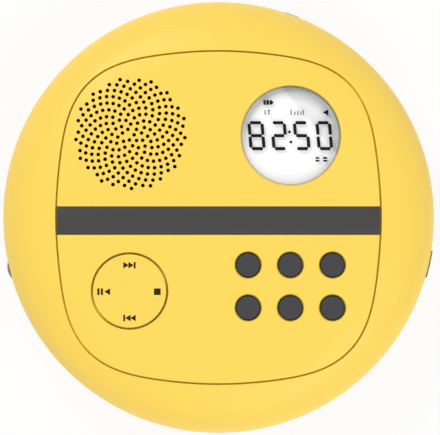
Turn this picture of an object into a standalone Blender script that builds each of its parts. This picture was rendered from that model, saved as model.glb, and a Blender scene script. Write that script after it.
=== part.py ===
"""Round portable disc player, modelled as its separate moulded, stamped and bought-in pieces.

Metres, +Z up. The origin is under the middle of the feet. The player lies flat, its controls face
up, +Y points to the hinged side of the lid and -Y to the side that the user faces.
"""
import math

import bmesh
import bpy

for leftover in list(bpy.data.objects):
    bpy.data.objects.remove(leftover, do_unlink=True)

# Disc and the room round it, which set the size of the player
DISC_RADIUS = 0.0600
DISC_CLEARANCE = 0.0015
DECK_RIM_WIDTH = 0.0150
CASING_MARGIN = 0.0072
WELL_RADIUS = DISC_RADIUS + DISC_CLEARANCE
DECK_RADIUS = WELL_RADIUS + DECK_RIM_WIDTH
BODY_RADIUS = DECK_RADIUS + CASING_MARGIN

# Levels, stacked from the base: floor, spindle motor, drive plate, tray, inner cover and lid
REST_GAP = 0.0003
BASE_Z = 0.0015
FLOOR_THICKNESS = 0.0020
MOTOR_CLEARANCE = 0.0019
MOTOR_HEIGHT = 0.0074
CHASSIS_THICKNESS = 0.0012
DRIVE_ROOM = 0.0071
DISC_SEAT_RISE = 0.0019
DECK_RISE = 0.0028
COVER_CLEARANCE = 0.0024
COVER_THICKNESS = 0.0016
LID_ROOM = 0.0138
WAIST_DROP = 0.0014
WIDEST_RISE = 0.0020
FLOOR_TOP_Z = BASE_Z + FLOOR_THICKNESS
CHASSIS_BOTTOM_Z = FLOOR_TOP_Z + MOTOR_CLEARANCE + MOTOR_HEIGHT + REST_GAP
CHASSIS_TOP_Z = CHASSIS_BOTTOM_Z + CHASSIS_THICKNESS
WELL_FLOOR_Z = CHASSIS_TOP_Z + DRIVE_ROOM
DISC_SEAT_Z = WELL_FLOOR_Z + DISC_SEAT_RISE
DECK_TOP_Z = WELL_FLOOR_Z + DECK_RISE
COVER_BOTTOM_Z = DECK_TOP_Z + COVER_CLEARANCE
COVER_TOP_Z = COVER_BOTTOM_Z + COVER_THICKNESS
BODY_TOP_Z = COVER_TOP_Z + LID_ROOM
WAIST_Z = WELL_FLOOR_Z - WAIST_DROP
WIDEST_Z = WAIST_Z + WIDEST_RISE

# Casing: one round puck, split at its waist
BASE_ROUNDING = 0.0177
BASE_FLAT_RADIUS = BODY_RADIUS - BASE_ROUNDING
SHELL_WALL = 0.0018
DECK_THICKNESS = 0.0018
DOME_EXPONENT = 8.0
BELLY_EXPONENT = 2.4

# Gaps: running shafts and the seam seen round the lid
RUN_GAP = 0.00015
SEAM_GAP = 0.0006
OVERRUN = 0.0010

# Lid outline, a rounded square measured at the middle of the seam
SEAM_SIDE_MARGIN = 0.0015
SEAM_BACK_MARGIN = 0.0031
SEAM_HALF_WIDTH = WELL_RADIUS + SEAM_SIDE_MARGIN
SEAM_HALF_DEPTH = WELL_RADIUS + SEAM_BACK_MARGIN
SEAM_EXPONENT = 3.2

# Lid shell and its inner cover
LID_SKIN = 0.0016
LID_WALL = 0.0016
LID_SWING_CLEARANCE = 0.00035
LID_REST_INSET = 0.0045
LID_REST_CIRCLE = WELL_RADIUS + LID_REST_INSET
LID_REST_RADIUS = 0.0018

# Hinge hidden under the ring at the back
HINGE_BACK = 0.0060
HINGE_DEPTH = 0.0068
HINGE_ARM_X = 0.0090
HINGE_ARM_WIDTH = 0.0040
HINGE_BARREL_RADIUS = 0.0019
HINGE_PIN_RADIUS = 0.0009
HINGE_EAR_THICKNESS = 0.0016
HINGE_FOOT_DROP = 0.0015
HINGE_FOOT_THICKNESS = 0.0024
LID_EDGE_SHARES = (0.18, 0.45, 1.0)
LID_TOP_SHARES = (1.0, 0.93, 0.80, 0.55)
RING_ROOM_SHARES = (0.995, 0.98, 0.94, 0.88, 0.80)

# Speaker holes, set out as a sunflower head
GRILLE_X_SHARE = -0.568
GRILLE_Y_SHARE = 0.541
GRILLE_RADIUS_SHARE = 0.3725
GRILLE_X = DISC_RADIUS * GRILLE_X_SHARE
GRILLE_Y = DISC_RADIUS * GRILLE_Y_SHARE
GRILLE_RADIUS = DISC_RADIUS * GRILLE_RADIUS_SHARE
GRILLE_HOLE_RADIUS = 0.00068
GRILLE_HOLE_COUNT = 233
GRILLE_START = math.radians(-15.8)
GRILLE_HOLE_SIDES = 4

# Round display
DISPLAY_X_SHARE = 0.4667
DISPLAY_Y_SHARE = 0.5292
DISPLAY_RADIUS_SHARE = 0.325
DISPLAY_X = DISC_RADIUS * DISPLAY_X_SHARE
DISPLAY_Y = DISC_RADIUS * DISPLAY_Y_SHARE
DISPLAY_HOLE_RADIUS = DISC_RADIUS * DISPLAY_RADIUS_SHARE
LENS_THICKNESS = 0.0012
DISPLAY_PANEL_THICKNESS = 0.0018
DISPLAY_HOLDER_WALL = 0.0014
DISPLAY_HOLDER_FLOOR = 0.0012
DISPLAY_FLANGE_WIDTH = 0.0020

# Dark band inlaid across the lid
BAND_WIDTH = 0.0110
BAND_Y_SHARE = -0.019
BAND_Y = DISC_RADIUS * BAND_Y_SHARE
BAND_THICKNESS = 0.0008
BAND_STEPS = 14

# Four-way pad
PAD_X_SHARE = -0.575
PAD_Y_SHARE = -0.475
PAD_RADIUS_SHARE = 0.25
PAD_X = DISC_RADIUS * PAD_X_SHARE
PAD_Y = DISC_RADIUS * PAD_Y_SHARE
PAD_HOLE_RADIUS = DISC_RADIUS * PAD_RADIUS_SHARE
PAD_GAP = 0.0008
PAD_RISE = 0.0003
PAD_FLANGE_WIDTH = 0.0009
PAD_FLANGE_THICKNESS = 0.0008
PAD_ROCK_ROOM = 0.0009
PAD_NUB_RADIUS = 0.0018
PAD_NUB_GAP = 0.00075
PAD_PILLAR_RADIUS = 0.0028
PAD_KEY_INSET = 0.0052
PAD_KEY_SPREAD = PAD_HOLE_RADIUS - PAD_KEY_INSET

# Six round buttons
BUTTON_COLUMN_SHARES = (0.1917, 0.4642, 0.7367)
BUTTON_ROW_SHARES = (-0.3067, -0.5833)
BUTTON_COLUMN_XS = tuple(DISC_RADIUS * share for share in BUTTON_COLUMN_SHARES)
BUTTON_ROW_YS = tuple(DISC_RADIUS * share for share in BUTTON_ROW_SHARES)
BUTTON_HOLE_RADIUS = 0.0052
BUTTON_GAP = 0.00075
BUTTON_RISE = 0.0005
BUTTON_FLANGE_WIDTH = 0.0009
BUTTON_FLANGE_THICKNESS = 0.0009
BUTTON_TRAVEL = 0.0008
BUTTON_STEM_RADIUS = 0.0030
KEY_DOME_RADIUS = 0.0030

# Key board and rubber key mat inside the lid
KEY_BOARD_WIDTH_SHARE = 0.8
KEY_BOARD_MARGIN = 0.0090
KEY_BOARD_HALF_WIDTH = DISC_RADIUS * KEY_BOARD_WIDTH_SHARE
KEY_BOARD_BACK_Y = max(BUTTON_ROW_YS) + KEY_BOARD_MARGIN
KEY_BOARD_FRONT_Y = min(BUTTON_ROW_YS) - KEY_BOARD_MARGIN
KEY_BOARD_DROP = 0.0074
KEY_BOARD_TOP_Z = BODY_TOP_Z - KEY_BOARD_DROP
KEY_POST_INSET = 0.0070
KEY_POST_RADIUS = 0.0018
BOARD_THICKNESS = 0.0016
KEY_MAT_THICKNESS = 0.0009
KEY_DOME_RISE = 0.0019
KEY_DOME_TOP_Z = KEY_BOARD_TOP_Z + KEY_DOME_RISE

# Speaker
SPEAKER_RADIUS_SHARE = 0.325
SPEAKER_RADIUS = DISC_RADIUS * SPEAKER_RADIUS_SHARE
SPEAKER_FLANGE = 0.0012
MAGNET_RADIUS = 0.0085
MAGNET_HEIGHT = 0.0028
MAGNET_CLEARANCE = 0.0006

# Disc drive
CHASSIS_HALF_WIDTH = 0.0240
CHASSIS_BACK_Y = 0.0220
CHASSIS_FRONT_MARGIN = 0.0067
CHASSIS_NOSE_LENGTH = 0.0120
CHASSIS_FRONT_Y = CHASSIS_FRONT_MARGIN - BODY_RADIUS
CHASSIS_SHOULDER_Y = CHASSIS_FRONT_Y + CHASSIS_NOSE_LENGTH
CHASSIS_NOSE_HALF_WIDTH = 0.0135
CHASSIS_LUG_X = 0.0440
CHASSIS_LUG_BACK_Y = -0.0130
CHASSIS_LUG_FRONT_Y = -0.0480
SLED_WINDOW_HALF_WIDTH = 0.0172
SLED_WINDOW_BACK_Y = -0.0125
SLED_WINDOW_OVERREACH = 0.0075
SLED_WINDOW_FRONT_Y = -DISC_RADIUS - SLED_WINDOW_OVERREACH
DAMPER_RADIUS = 0.0042
DAMPER_NECK_RADIUS = 0.0029
DAMPER_BORE_RADIUS = 0.0016
DAMPER_FLANGE = 0.0013
DAMPER_INSET = 0.0050
MOTOR_RADIUS = 0.0100
MOTOR_BOSS_RADIUS = 0.0030
MOTOR_SHAFT_RADIUS = 0.0010
HUB_RADIUS = 0.0140
HUB_SLEEVE_RADIUS = 0.0040
HUB_CONE_RADIUS = 0.0073
HUB_CONE_HEIGHT = 0.0023
HUB_TOP_Z = DISC_SEAT_Z + HUB_CONE_HEIGHT
HUB_PLATE_THICKNESS = 0.0013
ROD_X = 0.0140
ROD_RISE = 0.0021
ROD_Z = CHASSIS_TOP_Z + ROD_RISE
ROD_RADIUS = 0.00125
ROD_CLIP_HALF_WIDTH = 0.0021
ROD_CLIP_LENGTH = 0.0022
SLED_HALF_WIDTH = 0.0166
SLED_HALF_LENGTH = 0.0090
SLED_HOME_Y = -0.0235
SLED_END_MARGIN = 0.0035
SLED_TRAVEL = DISC_RADIUS - SLED_END_MARGIN + SLED_HOME_Y
SLED_RISE = 0.0040
SLED_HEIGHT = 0.0087
SLED_TOP_Z = CHASSIS_TOP_Z + SLED_RISE
SLED_BOTTOM_Z = SLED_TOP_Z - SLED_HEIGHT
TURRET_RADIUS = 0.0055
TURRET_RISE = 0.0008
TURRET_TOP_Z = SLED_TOP_Z + TURRET_RISE
LENS_CAP_RADIUS = 0.0024
LENS_CAP_RISE = 0.0018
LENS_CAP_TOP_Z = TURRET_TOP_Z + LENS_CAP_RISE

# Gear train of the sled: rack, stepped gear and motor pinion share one tooth size
TOOTH_MODULE = 0.0005
TOOTH_TIP_SHARE = 0.85
TOOTH_ROOT_SHARE = 1.15
TOOTH_ROOT_WIDTH_SHARE = 0.27
TOOTH_TIP_WIDTH_SHARE = 0.11
STEP_SMALL_TEETH = 12
STEP_LARGE_TEETH = 40
PINION_TEETH = 10
RACK_TEETH_BEHIND = 2
RACK_PITCH_X = 0.0245
RACK_ARM_WIDTH = 0.0055
STEP_GEAR_Y = -0.0340
PINION_BEARING = math.radians(60.0)
GEAR_THICKNESS = 0.0014
RACK_THICKNESS = 0.0016
GEAR_PIN_RADIUS = 0.0008
FEED_MOTOR_RADIUS = 0.0060
FEED_MOTOR_HEIGHT = 0.0064
FEED_SHAFT_RADIUS = 0.0006

# Power and sound electronics
MAIN_BOARD_MARGIN = 0.0071
MAIN_BOARD_WIDTH = 0.0260
MAIN_BOARD_OUTER_RADIUS = BODY_RADIUS - MAIN_BOARD_MARGIN
MAIN_BOARD_INNER_RADIUS = MAIN_BOARD_OUTER_RADIUS - MAIN_BOARD_WIDTH
MAIN_BOARD_RISE = 0.0073
MAIN_BOARD_TOP_Z = FLOOR_TOP_Z + MAIN_BOARD_RISE
MAIN_BOARD_START = math.radians(60.0)
MAIN_BOARD_END = math.radians(205.0)
MAIN_BOARD_POST_INSET = 0.0070
MAIN_BOARD_POST_CIRCLE = MAIN_BOARD_OUTER_RADIUS - MAIN_BOARD_POST_INSET
MAIN_BOARD_POST_BEARINGS = tuple(math.radians(angle) for angle in (90.0, 140.0, 185.0))
BOARD_POST_RADIUS = 0.0016
BATTERY_WIDTH = 0.0340
BATTERY_LENGTH = 0.0500
BATTERY_THICKNESS = 0.0050
BATTERY_INSET = 0.0397
BATTERY_X = BATTERY_INSET - BODY_RADIUS
BATTERY_Y = -0.0090
BATTERY_CORNER = 0.0020
TRAY_RIB = 0.0012
TRAY_HEIGHT = 0.0030
JACK_BEARING = math.radians(70.0)
JACK_BODY_WIDTH = 0.0070
JACK_BODY_LENGTH = 0.0115
JACK_BODY_HEIGHT = 0.0060
JACK_INSET = 0.0045
JACK_BODY_FRONT = BODY_RADIUS - JACK_INSET
JACK_NOSE_LENGTH = 0.0047
JACK_NOSE_RADIUS = 0.0029
JACK_BORE_RADIUS = 0.00185
JACK_BORE_DEPTH = 0.0110
SOCKET_BEARING = math.radians(83.0)
SOCKET_WIDTH = 0.0089
SOCKET_HEIGHT = 0.0034
SOCKET_LENGTH = 0.0085
SOCKET_INSET = 0.0026
SOCKET_FRONT = BODY_RADIUS - SOCKET_INSET
SOCKET_WALL = 0.0004
SOCKET_MOUTH_DEPTH = 0.0060

# Volume wheel in the left side and release button in the right side
WHEEL_BEARING = math.radians(194.2)
WHEEL_RADIUS = 0.0070
WHEEL_PROUD = 0.0008
WHEEL_RISE = 0.0006
WHEEL_BOTTOM_Z = WAIST_Z + WHEEL_RISE
WHEEL_THICKNESS = 0.0032
WHEEL_GROOVES = 24
WHEEL_GROOVE_DEPTH = 0.0003
POT_WIDTH = 0.0080
POT_DEPTH = 0.0058
POT_SHAFT_RADIUS = 0.0015
RELEASE_BACK_Y = -0.0129
RELEASE_FRONT_Y = -0.0233
RELEASE_PROUD = 0.0005
RELEASE_RISE = 0.0006
RELEASE_HEIGHT = 0.0058
RELEASE_BOTTOM_Z = WAIST_Z + RELEASE_RISE
RELEASE_TOP_Z = RELEASE_BOTTOM_Z + RELEASE_HEIGHT
RELEASE_TRAVEL = 0.0020
RELEASE_HEAD_DEPTH = 0.0060
RELEASE_WEB_INSET = 0.0052
RELEASE_WEB_WIDTH = 0.0023
RELEASE_WEB_OUTER_X = BODY_RADIUS - RELEASE_WEB_INSET
RELEASE_WEB_INNER_X = RELEASE_WEB_OUTER_X - RELEASE_WEB_WIDTH
RELEASE_WEB_FRONT_Y = -0.0205
SLIDE_DROP = 0.0010
SLIDE_TOP_Z = WAIST_Z - SLIDE_DROP
SLIDE_THICKNESS = 0.0018
SLIDE_BAR = 0.0025
LATCH_X_SHARE = 0.88
LATCH_Y_SHARE = -0.6867
LATCH_X = DISC_RADIUS * LATCH_X_SHARE
LATCH_Y = DISC_RADIUS * LATCH_Y_SHARE
LATCH_THICKNESS = 0.0015
LATCH_WIDTH = 0.0045
LATCH_BARB = 0.0010
LATCH_BARB_HEIGHT = 0.0019
LATCH_SWING_ROOM = 0.0024

# Feet and screws
FOOT_RADIUS = 0.0050
FOOT_RECESS = 0.0005
FOOT_INSET = 0.0100
FOOT_CIRCLE = BASE_FLAT_RADIUS - FOOT_INSET
CASE_SCREW_BEARINGS = tuple(math.radians(angle) for angle in (55.0, 125.0, 235.0, 305.0))
CASE_SCREW_INSET = 0.0077
CASE_SCREW_CIRCLE = BODY_RADIUS - CASE_SCREW_INSET
CASE_SCREW_RADIUS = 0.0012
CASE_SCREW_HEAD_RADIUS = 0.0024
CASE_SCREW_HEAD_HEIGHT = 0.0018
CASE_SCREW_SEAT_DROP = 0.0060
CASE_SCREW_TIP_RISE = 0.0090
CASE_SCREW_SEAT_Z = WAIST_Z - CASE_SCREW_SEAT_DROP
CASE_SCREW_TIP_Z = WAIST_Z + CASE_SCREW_TIP_RISE
CASE_BOSS_RADIUS = 0.0038
RING_BOSS_RADIUS = 0.0033
LID_SCREW_INSET = 0.0085
LID_SCREW_X = SEAM_HALF_WIDTH - LID_SCREW_INSET
LID_SCREW_Y = SEAM_HALF_DEPTH - LID_SCREW_INSET
LID_SCREW_RADIUS = 0.0008
LID_SCREW_HEAD_RADIUS = 0.0017
LID_SCREW_HEAD_HEIGHT = 0.0008
LID_SCREW_LENGTH = 0.0060
LID_BOSS_RADIUS = 0.0025

# Numbers of facets round each class of curve
SHELL_STEPS = 48
ROUND_STEPS = 24
SMALL_STEPS = 12
TINY_STEPS = 8


def material(name, colour, roughness, metallic=0.0, alpha=1.0):
    """One finish of the player as a Principled BSDF."""
    finish = bpy.data.materials.new(name)
    finish.use_nodes = True
    shader = finish.node_tree.nodes["Principled BSDF"]
    shader.inputs["Base Color"].default_value = (*colour, 1.0)
    shader.inputs["Roughness"].default_value = roughness
    shader.inputs["Metallic"].default_value = metallic
    shader.inputs["Alpha"].default_value = alpha
    finish.diffuse_color = (*colour, alpha)
    return finish


YELLOW = material("yellow_shell_plastic", (0.98, 0.68, 0.13), 0.45)
GREY = material("dark_grey_plastic", (0.070, 0.068, 0.072), 0.5)
WELL_GREY = material("well_plastic", (0.12, 0.12, 0.12), 0.6)
WHITE = material("display_white", (0.85, 0.86, 0.85), 0.4)
CLEAR = material("clear_window", (0.92, 0.94, 0.95), 0.08, 0.0, 0.35)
STEEL = material("plated_steel", (0.62, 0.63, 0.65), 0.3, 1.0)
ALUMINIUM = material("cast_aluminium", (0.70, 0.71, 0.72), 0.4, 1.0)
RUBBER = material("black_rubber", (0.03, 0.03, 0.03), 0.85)
BOARD = material("board_green", (0.03, 0.20, 0.09), 0.5)
GEAR_WHITE = material("gear_nylon", (0.80, 0.79, 0.74), 0.45)
PAPER = material("cone_paper", (0.06, 0.06, 0.06), 0.9)
SLEEVE_BLUE = material("cell_wrap", (0.10, 0.20, 0.42), 0.35)
GLASS = material("pickup_glass", (0.35, 0.30, 0.55), 0.1, 0.0, 0.6)


def make_object(name, vertices, faces, finish):
    """A mesh object whose faces are turned to point out of the solid."""
    mesh = bpy.data.meshes.new(name)
    mesh.from_pydata(vertices, [], faces)
    work = bmesh.new()
    work.from_mesh(mesh)
    bmesh.ops.recalc_face_normals(work, faces=work.faces)
    work.to_mesh(mesh)
    work.free()
    mesh.materials.append(finish)
    thing = bpy.data.objects.new(name, mesh)
    bpy.context.collection.objects.link(thing)
    return thing


def smooth(thing, angle=math.radians(35.0)):
    """Shade a round piece smooth and keep its real edges sharp."""
    thing.data.shade_smooth()
    thing.data.set_sharp_from_angle(angle=angle)
    return thing


def skin_loops(name, loops, finish, ring=False):
    """Skin closed loops of equal count. A ring joins its last loop to its first, others are capped."""
    count = len(loops[0])
    vertices = [point for loop in loops for point in loop]
    faces = []
    spans = len(loops) if ring else len(loops) - 1
    for row in range(spans):
        near = row * count
        far = ((row + 1) % len(loops)) * count
        for step in range(count):
            after = (step + 1) % count
            faces.append((near + step, near + after, far + after, far + step))
    if not ring:
        faces.append(tuple(range(count)))
        last = (len(loops) - 1) * count
        faces.append(tuple(last + step for step in reversed(range(count))))
    return make_object(name, vertices, faces, finish)


def turned(name, profile, finish, centre=(0.0, 0.0), steps=ROUND_STEPS):
    """A solid turned about a vertical line. The profile runs (radius, z), closed on the axis or a ring."""
    on_axis = profile[0][0] == 0 and profile[-1][0] == 0
    points = profile[1:-1] if on_axis else profile
    loops = []
    for radius, z in points:
        loops.append([
            (centre[0] + radius * math.cos(math.tau * step / steps),
             centre[1] + radius * math.sin(math.tau * step / steps), z)
            for step in range(steps)
        ])
    return smooth(skin_loops(name, loops, finish, ring=not on_axis))


def rod_between(name, start, end, radius, finish, steps=SMALL_STEPS):
    """A round bar from one point to another."""
    span = [b - a for a, b in zip(start, end)]
    length = math.sqrt(sum(part * part for part in span))
    forward = [part / length for part in span]
    helper = (0.0, 0.0, 1.0) if abs(forward[2]) < math.cos(math.radians(45.0)) else (1.0, 0.0, 0.0)
    side = cross(forward, helper)
    size = math.sqrt(sum(part * part for part in side))
    side = [part / size for part in side]
    up = cross(side, forward)
    loops = []
    for middle in (start, end):
        loops.append([
            tuple(middle[i] + radius * (math.cos(math.tau * step / steps) * side[i]
                                        + math.sin(math.tau * step / steps) * up[i]) for i in range(3))
            for step in range(steps)
        ])
    return smooth(skin_loops(name, loops, finish))


def cross(first, second):
    """The vector product of two directions."""
    return [
        first[1] * second[2] - first[2] * second[1],
        first[2] * second[0] - first[0] * second[2],
        first[0] * second[1] - first[1] * second[0],
    ]


def prism(name, outline, bottom, top, finish):
    """A plan outline carried straight up."""
    return skin_loops(name, [[(x, y, z) for x, y in outline] for z in (bottom, top)], finish)


def block(name, low, high, finish):
    """A straight block between two corners."""
    outline = [(low[0], low[1]), (high[0], low[1]), (high[0], high[1]), (low[0], high[1])]
    return prism(name, outline, low[2], high[2], finish)


def place_radially(thing, bearing):
    """Turn a piece that was drawn pointing along +X so that it points along a bearing."""
    cosine = math.cos(bearing)
    sine = math.sin(bearing)
    for vertex in thing.data.vertices:
        x, y, z = vertex.co
        vertex.co = (x * cosine - y * sine, x * sine + y * cosine, z)
    return thing


def rounded_outline(half_x, half_y, radius, centre=(0.0, 0.0), corner_steps=4):
    """A rectangle with round corners, anticlockwise."""
    outline = []
    for quarter, (sx, sy) in enumerate(((1, 1), (-1, 1), (-1, -1), (1, -1))):
        for step in range(corner_steps + 1):
            angle = math.pi / 2 * (quarter + step / corner_steps)
            outline.append((
                centre[0] + sx * (half_x - radius) + radius * math.cos(angle),
                centre[1] + sy * (half_y - radius) + radius * math.sin(angle),
            ))
    return outline


def combine(target, tool, operation):
    """Cut one solid out of another, or join it on, and keep the tool out of the model."""
    modifier = target.modifiers.new(operation.lower() + "_" + tool.name, "BOOLEAN")
    modifier.operation = operation
    modifier.solver = "EXACT"
    modifier.object = tool
    tool.hide_render = True
    tool.display_type = "WIRE"


def cut(target, *tools):
    """Cut each tool out of the target."""
    for tool in tools:
        combine(target, tool, "DIFFERENCE")


def join(target, *tools):
    """Join each tool to the target."""
    for tool in tools:
        combine(target, tool, "UNION")


def polar(radius, bearing):
    """Plan point at a radius and bearing from the middle of the player."""
    return (radius * math.cos(bearing), radius * math.sin(bearing))


def dome_z(x, y, inward=0.0):
    """Height of the casing's top face over a plan point, or of a face that far inside it."""
    radius = min(math.hypot(x, y), BODY_RADIUS - inward)
    share = (radius / (BODY_RADIUS - inward)) ** DOME_EXPONENT
    return WIDEST_Z + (BODY_TOP_Z - inward - WIDEST_Z) * math.sqrt(max(1.0 - share, 0.0))


def belly_point(share, inward=0.0):
    """Point of the casing's rounded underside, from the flat base at 0 to the widest line at 1."""
    angle = math.pi / 2 * share
    power = 2.0 / BELLY_EXPONENT
    radius = BASE_FLAT_RADIUS + (BODY_RADIUS - inward - BASE_FLAT_RADIUS) * math.sin(angle) ** power
    z = WIDEST_Z - (WIDEST_Z - BASE_Z - inward) * math.cos(angle) ** power
    return radius, z


def seam_radius(bearing, grow=0.0):
    """Distance from the middle to the lid seam along a bearing, or to a line outside or inside it."""
    across = abs(math.cos(bearing)) / SEAM_HALF_WIDTH
    along = abs(math.sin(bearing)) / SEAM_HALF_DEPTH
    return (across ** SEAM_EXPONENT + along ** SEAM_EXPONENT) ** (-1.0 / SEAM_EXPONENT) + grow


def seam_loop(grow, z=None, share=1.0, inward=0.0):
    """A loop that follows the seam at a growth and height, or lies on the dome."""
    loop = []
    for step in range(SHELL_STEPS):
        bearing = math.tau * step / SHELL_STEPS
        x, y = polar(seam_radius(bearing, grow) * share, bearing)
        loop.append((x, y, dome_z(x, y, inward) if z is None else z))
    return loop


def circle_loop(radius, z, steps=SHELL_STEPS):
    """A level circle about the middle of the player."""
    return [(*polar(radius, math.tau * step / steps), z) for step in range(steps)]


WHEEL_CENTRE = polar(BODY_RADIUS + WHEEL_PROUD - WHEEL_RADIUS, WHEEL_BEARING)
MAIN_BOARD_POSTS = [polar(MAIN_BOARD_POST_CIRCLE, bearing) for bearing in MAIN_BOARD_POST_BEARINGS]
FOOT_BEARINGS = [math.tau * (step + 0.5) / 4 for step in range(4)]
LID_REST_PLACES = [polar(LID_REST_CIRCLE, bearing) for bearing in FOOT_BEARINGS]
LID_SCREW_PLACES = [(LID_SCREW_X, 0), (0, LID_SCREW_Y), (-LID_SCREW_X, 0), (0, -LID_SCREW_Y)]
BUTTON_PLACES = [(x, y) for y in BUTTON_ROW_YS for x in BUTTON_COLUMN_XS]
PAD_KEY_PLACES = [(PAD_X + PAD_KEY_SPREAD, PAD_Y), (PAD_X, PAD_Y + PAD_KEY_SPREAD),
                  (PAD_X - PAD_KEY_SPREAD, PAD_Y), (PAD_X, PAD_Y - PAD_KEY_SPREAD)]
KEY_BOARD_POSTS = [(side * (KEY_BOARD_HALF_WIDTH - KEY_POST_INSET), y)
                   for side in (-1, 1)
                   for y in (KEY_BOARD_BACK_Y - KEY_POST_INSET, KEY_BOARD_FRONT_Y + KEY_POST_INSET)]
DAMPER_PLACES = [(CHASSIS_HALF_WIDTH - DAMPER_INSET, CHASSIS_BACK_Y - DAMPER_INSET),
                 (DAMPER_INSET - CHASSIS_HALF_WIDTH, CHASSIS_BACK_Y - DAMPER_INSET),
                 (0, CHASSIS_FRONT_Y + DAMPER_INSET)]
DAMPER_BOTTOM_Z = CHASSIS_BOTTOM_Z - REST_GAP - DAMPER_FLANGE
DAMPER_TOP_Z = CHASSIS_TOP_Z + REST_GAP + DAMPER_FLANGE
PAD_PIVOT_Z = KEY_BOARD_TOP_Z + REST_GAP
ROD_CLIP_PLACES = [(side, y) for side in (-1, 1) for y in (
    SLED_WINDOW_BACK_Y + ROD_CLIP_LENGTH / 2, SLED_WINDOW_FRONT_Y - ROD_CLIP_LENGTH / 2)]
TOOTH_PITCH = math.pi * TOOTH_MODULE
RACK_TEETH = round(SLED_TRAVEL / TOOTH_PITCH) + RACK_TEETH_BEHIND * 2
STEP_SMALL_RADIUS = TOOTH_MODULE * STEP_SMALL_TEETH / 2
STEP_LARGE_RADIUS = TOOTH_MODULE * STEP_LARGE_TEETH / 2
PINION_RADIUS = TOOTH_MODULE * PINION_TEETH / 2
STEP_GEAR_X = RACK_PITCH_X + STEP_SMALL_RADIUS
PINION_X = STEP_GEAR_X + (STEP_LARGE_RADIUS + PINION_RADIUS) * math.cos(PINION_BEARING)
PINION_Y = STEP_GEAR_Y + (STEP_LARGE_RADIUS + PINION_RADIUS) * math.sin(PINION_BEARING)
GEAR_BOTTOM_Z = CHASSIS_TOP_Z + REST_GAP
RACK_BOTTOM_Z = GEAR_BOTTOM_Z + GEAR_THICKNESS + REST_GAP * 2
RACK_TOP_Z = RACK_BOTTOM_Z + RACK_THICKNESS
SLIDE_INNER_X = LATCH_X - LATCH_THICKNESS / 2 - REST_GAP - SLIDE_BAR
SLIDE_OUTER_X = LATCH_X + LATCH_THICKNESS / 2 + REST_GAP + RELEASE_TRAVEL + SLIDE_BAR
SLIDE_BACK_Y = LATCH_Y + LATCH_WIDTH / 2 + REST_GAP + SLIDE_BAR
SLIDE_FRONT_Y = LATCH_Y - LATCH_WIDTH / 2 - LATCH_SWING_ROOM - SLIDE_BAR
RING_EDGE = SEAM_GAP / 2
LID_EDGE = -SEAM_GAP / 2
HINGE_Y = SEAM_HALF_DEPTH + RING_EDGE + HINGE_BACK
HINGE_Z = dome_z(0.0, SEAM_HALF_DEPTH + RING_EDGE) - HINGE_DEPTH
LID_SWING_RADIUS = math.hypot(HINGE_BACK, HINGE_DEPTH) + LID_SWING_CLEARANCE


def lid_inset(depth):
    """How far the lid's side leans in at a depth below its edge, to clear the ring as the lid swings."""
    height = max(HINGE_DEPTH - depth, 0.0)
    return math.sqrt(LID_SWING_RADIUS ** 2 - height ** 2) - (HINGE_BACK + SEAM_GAP)


LID_FOOT_INSET = lid_inset(HINGE_DEPTH)


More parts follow.
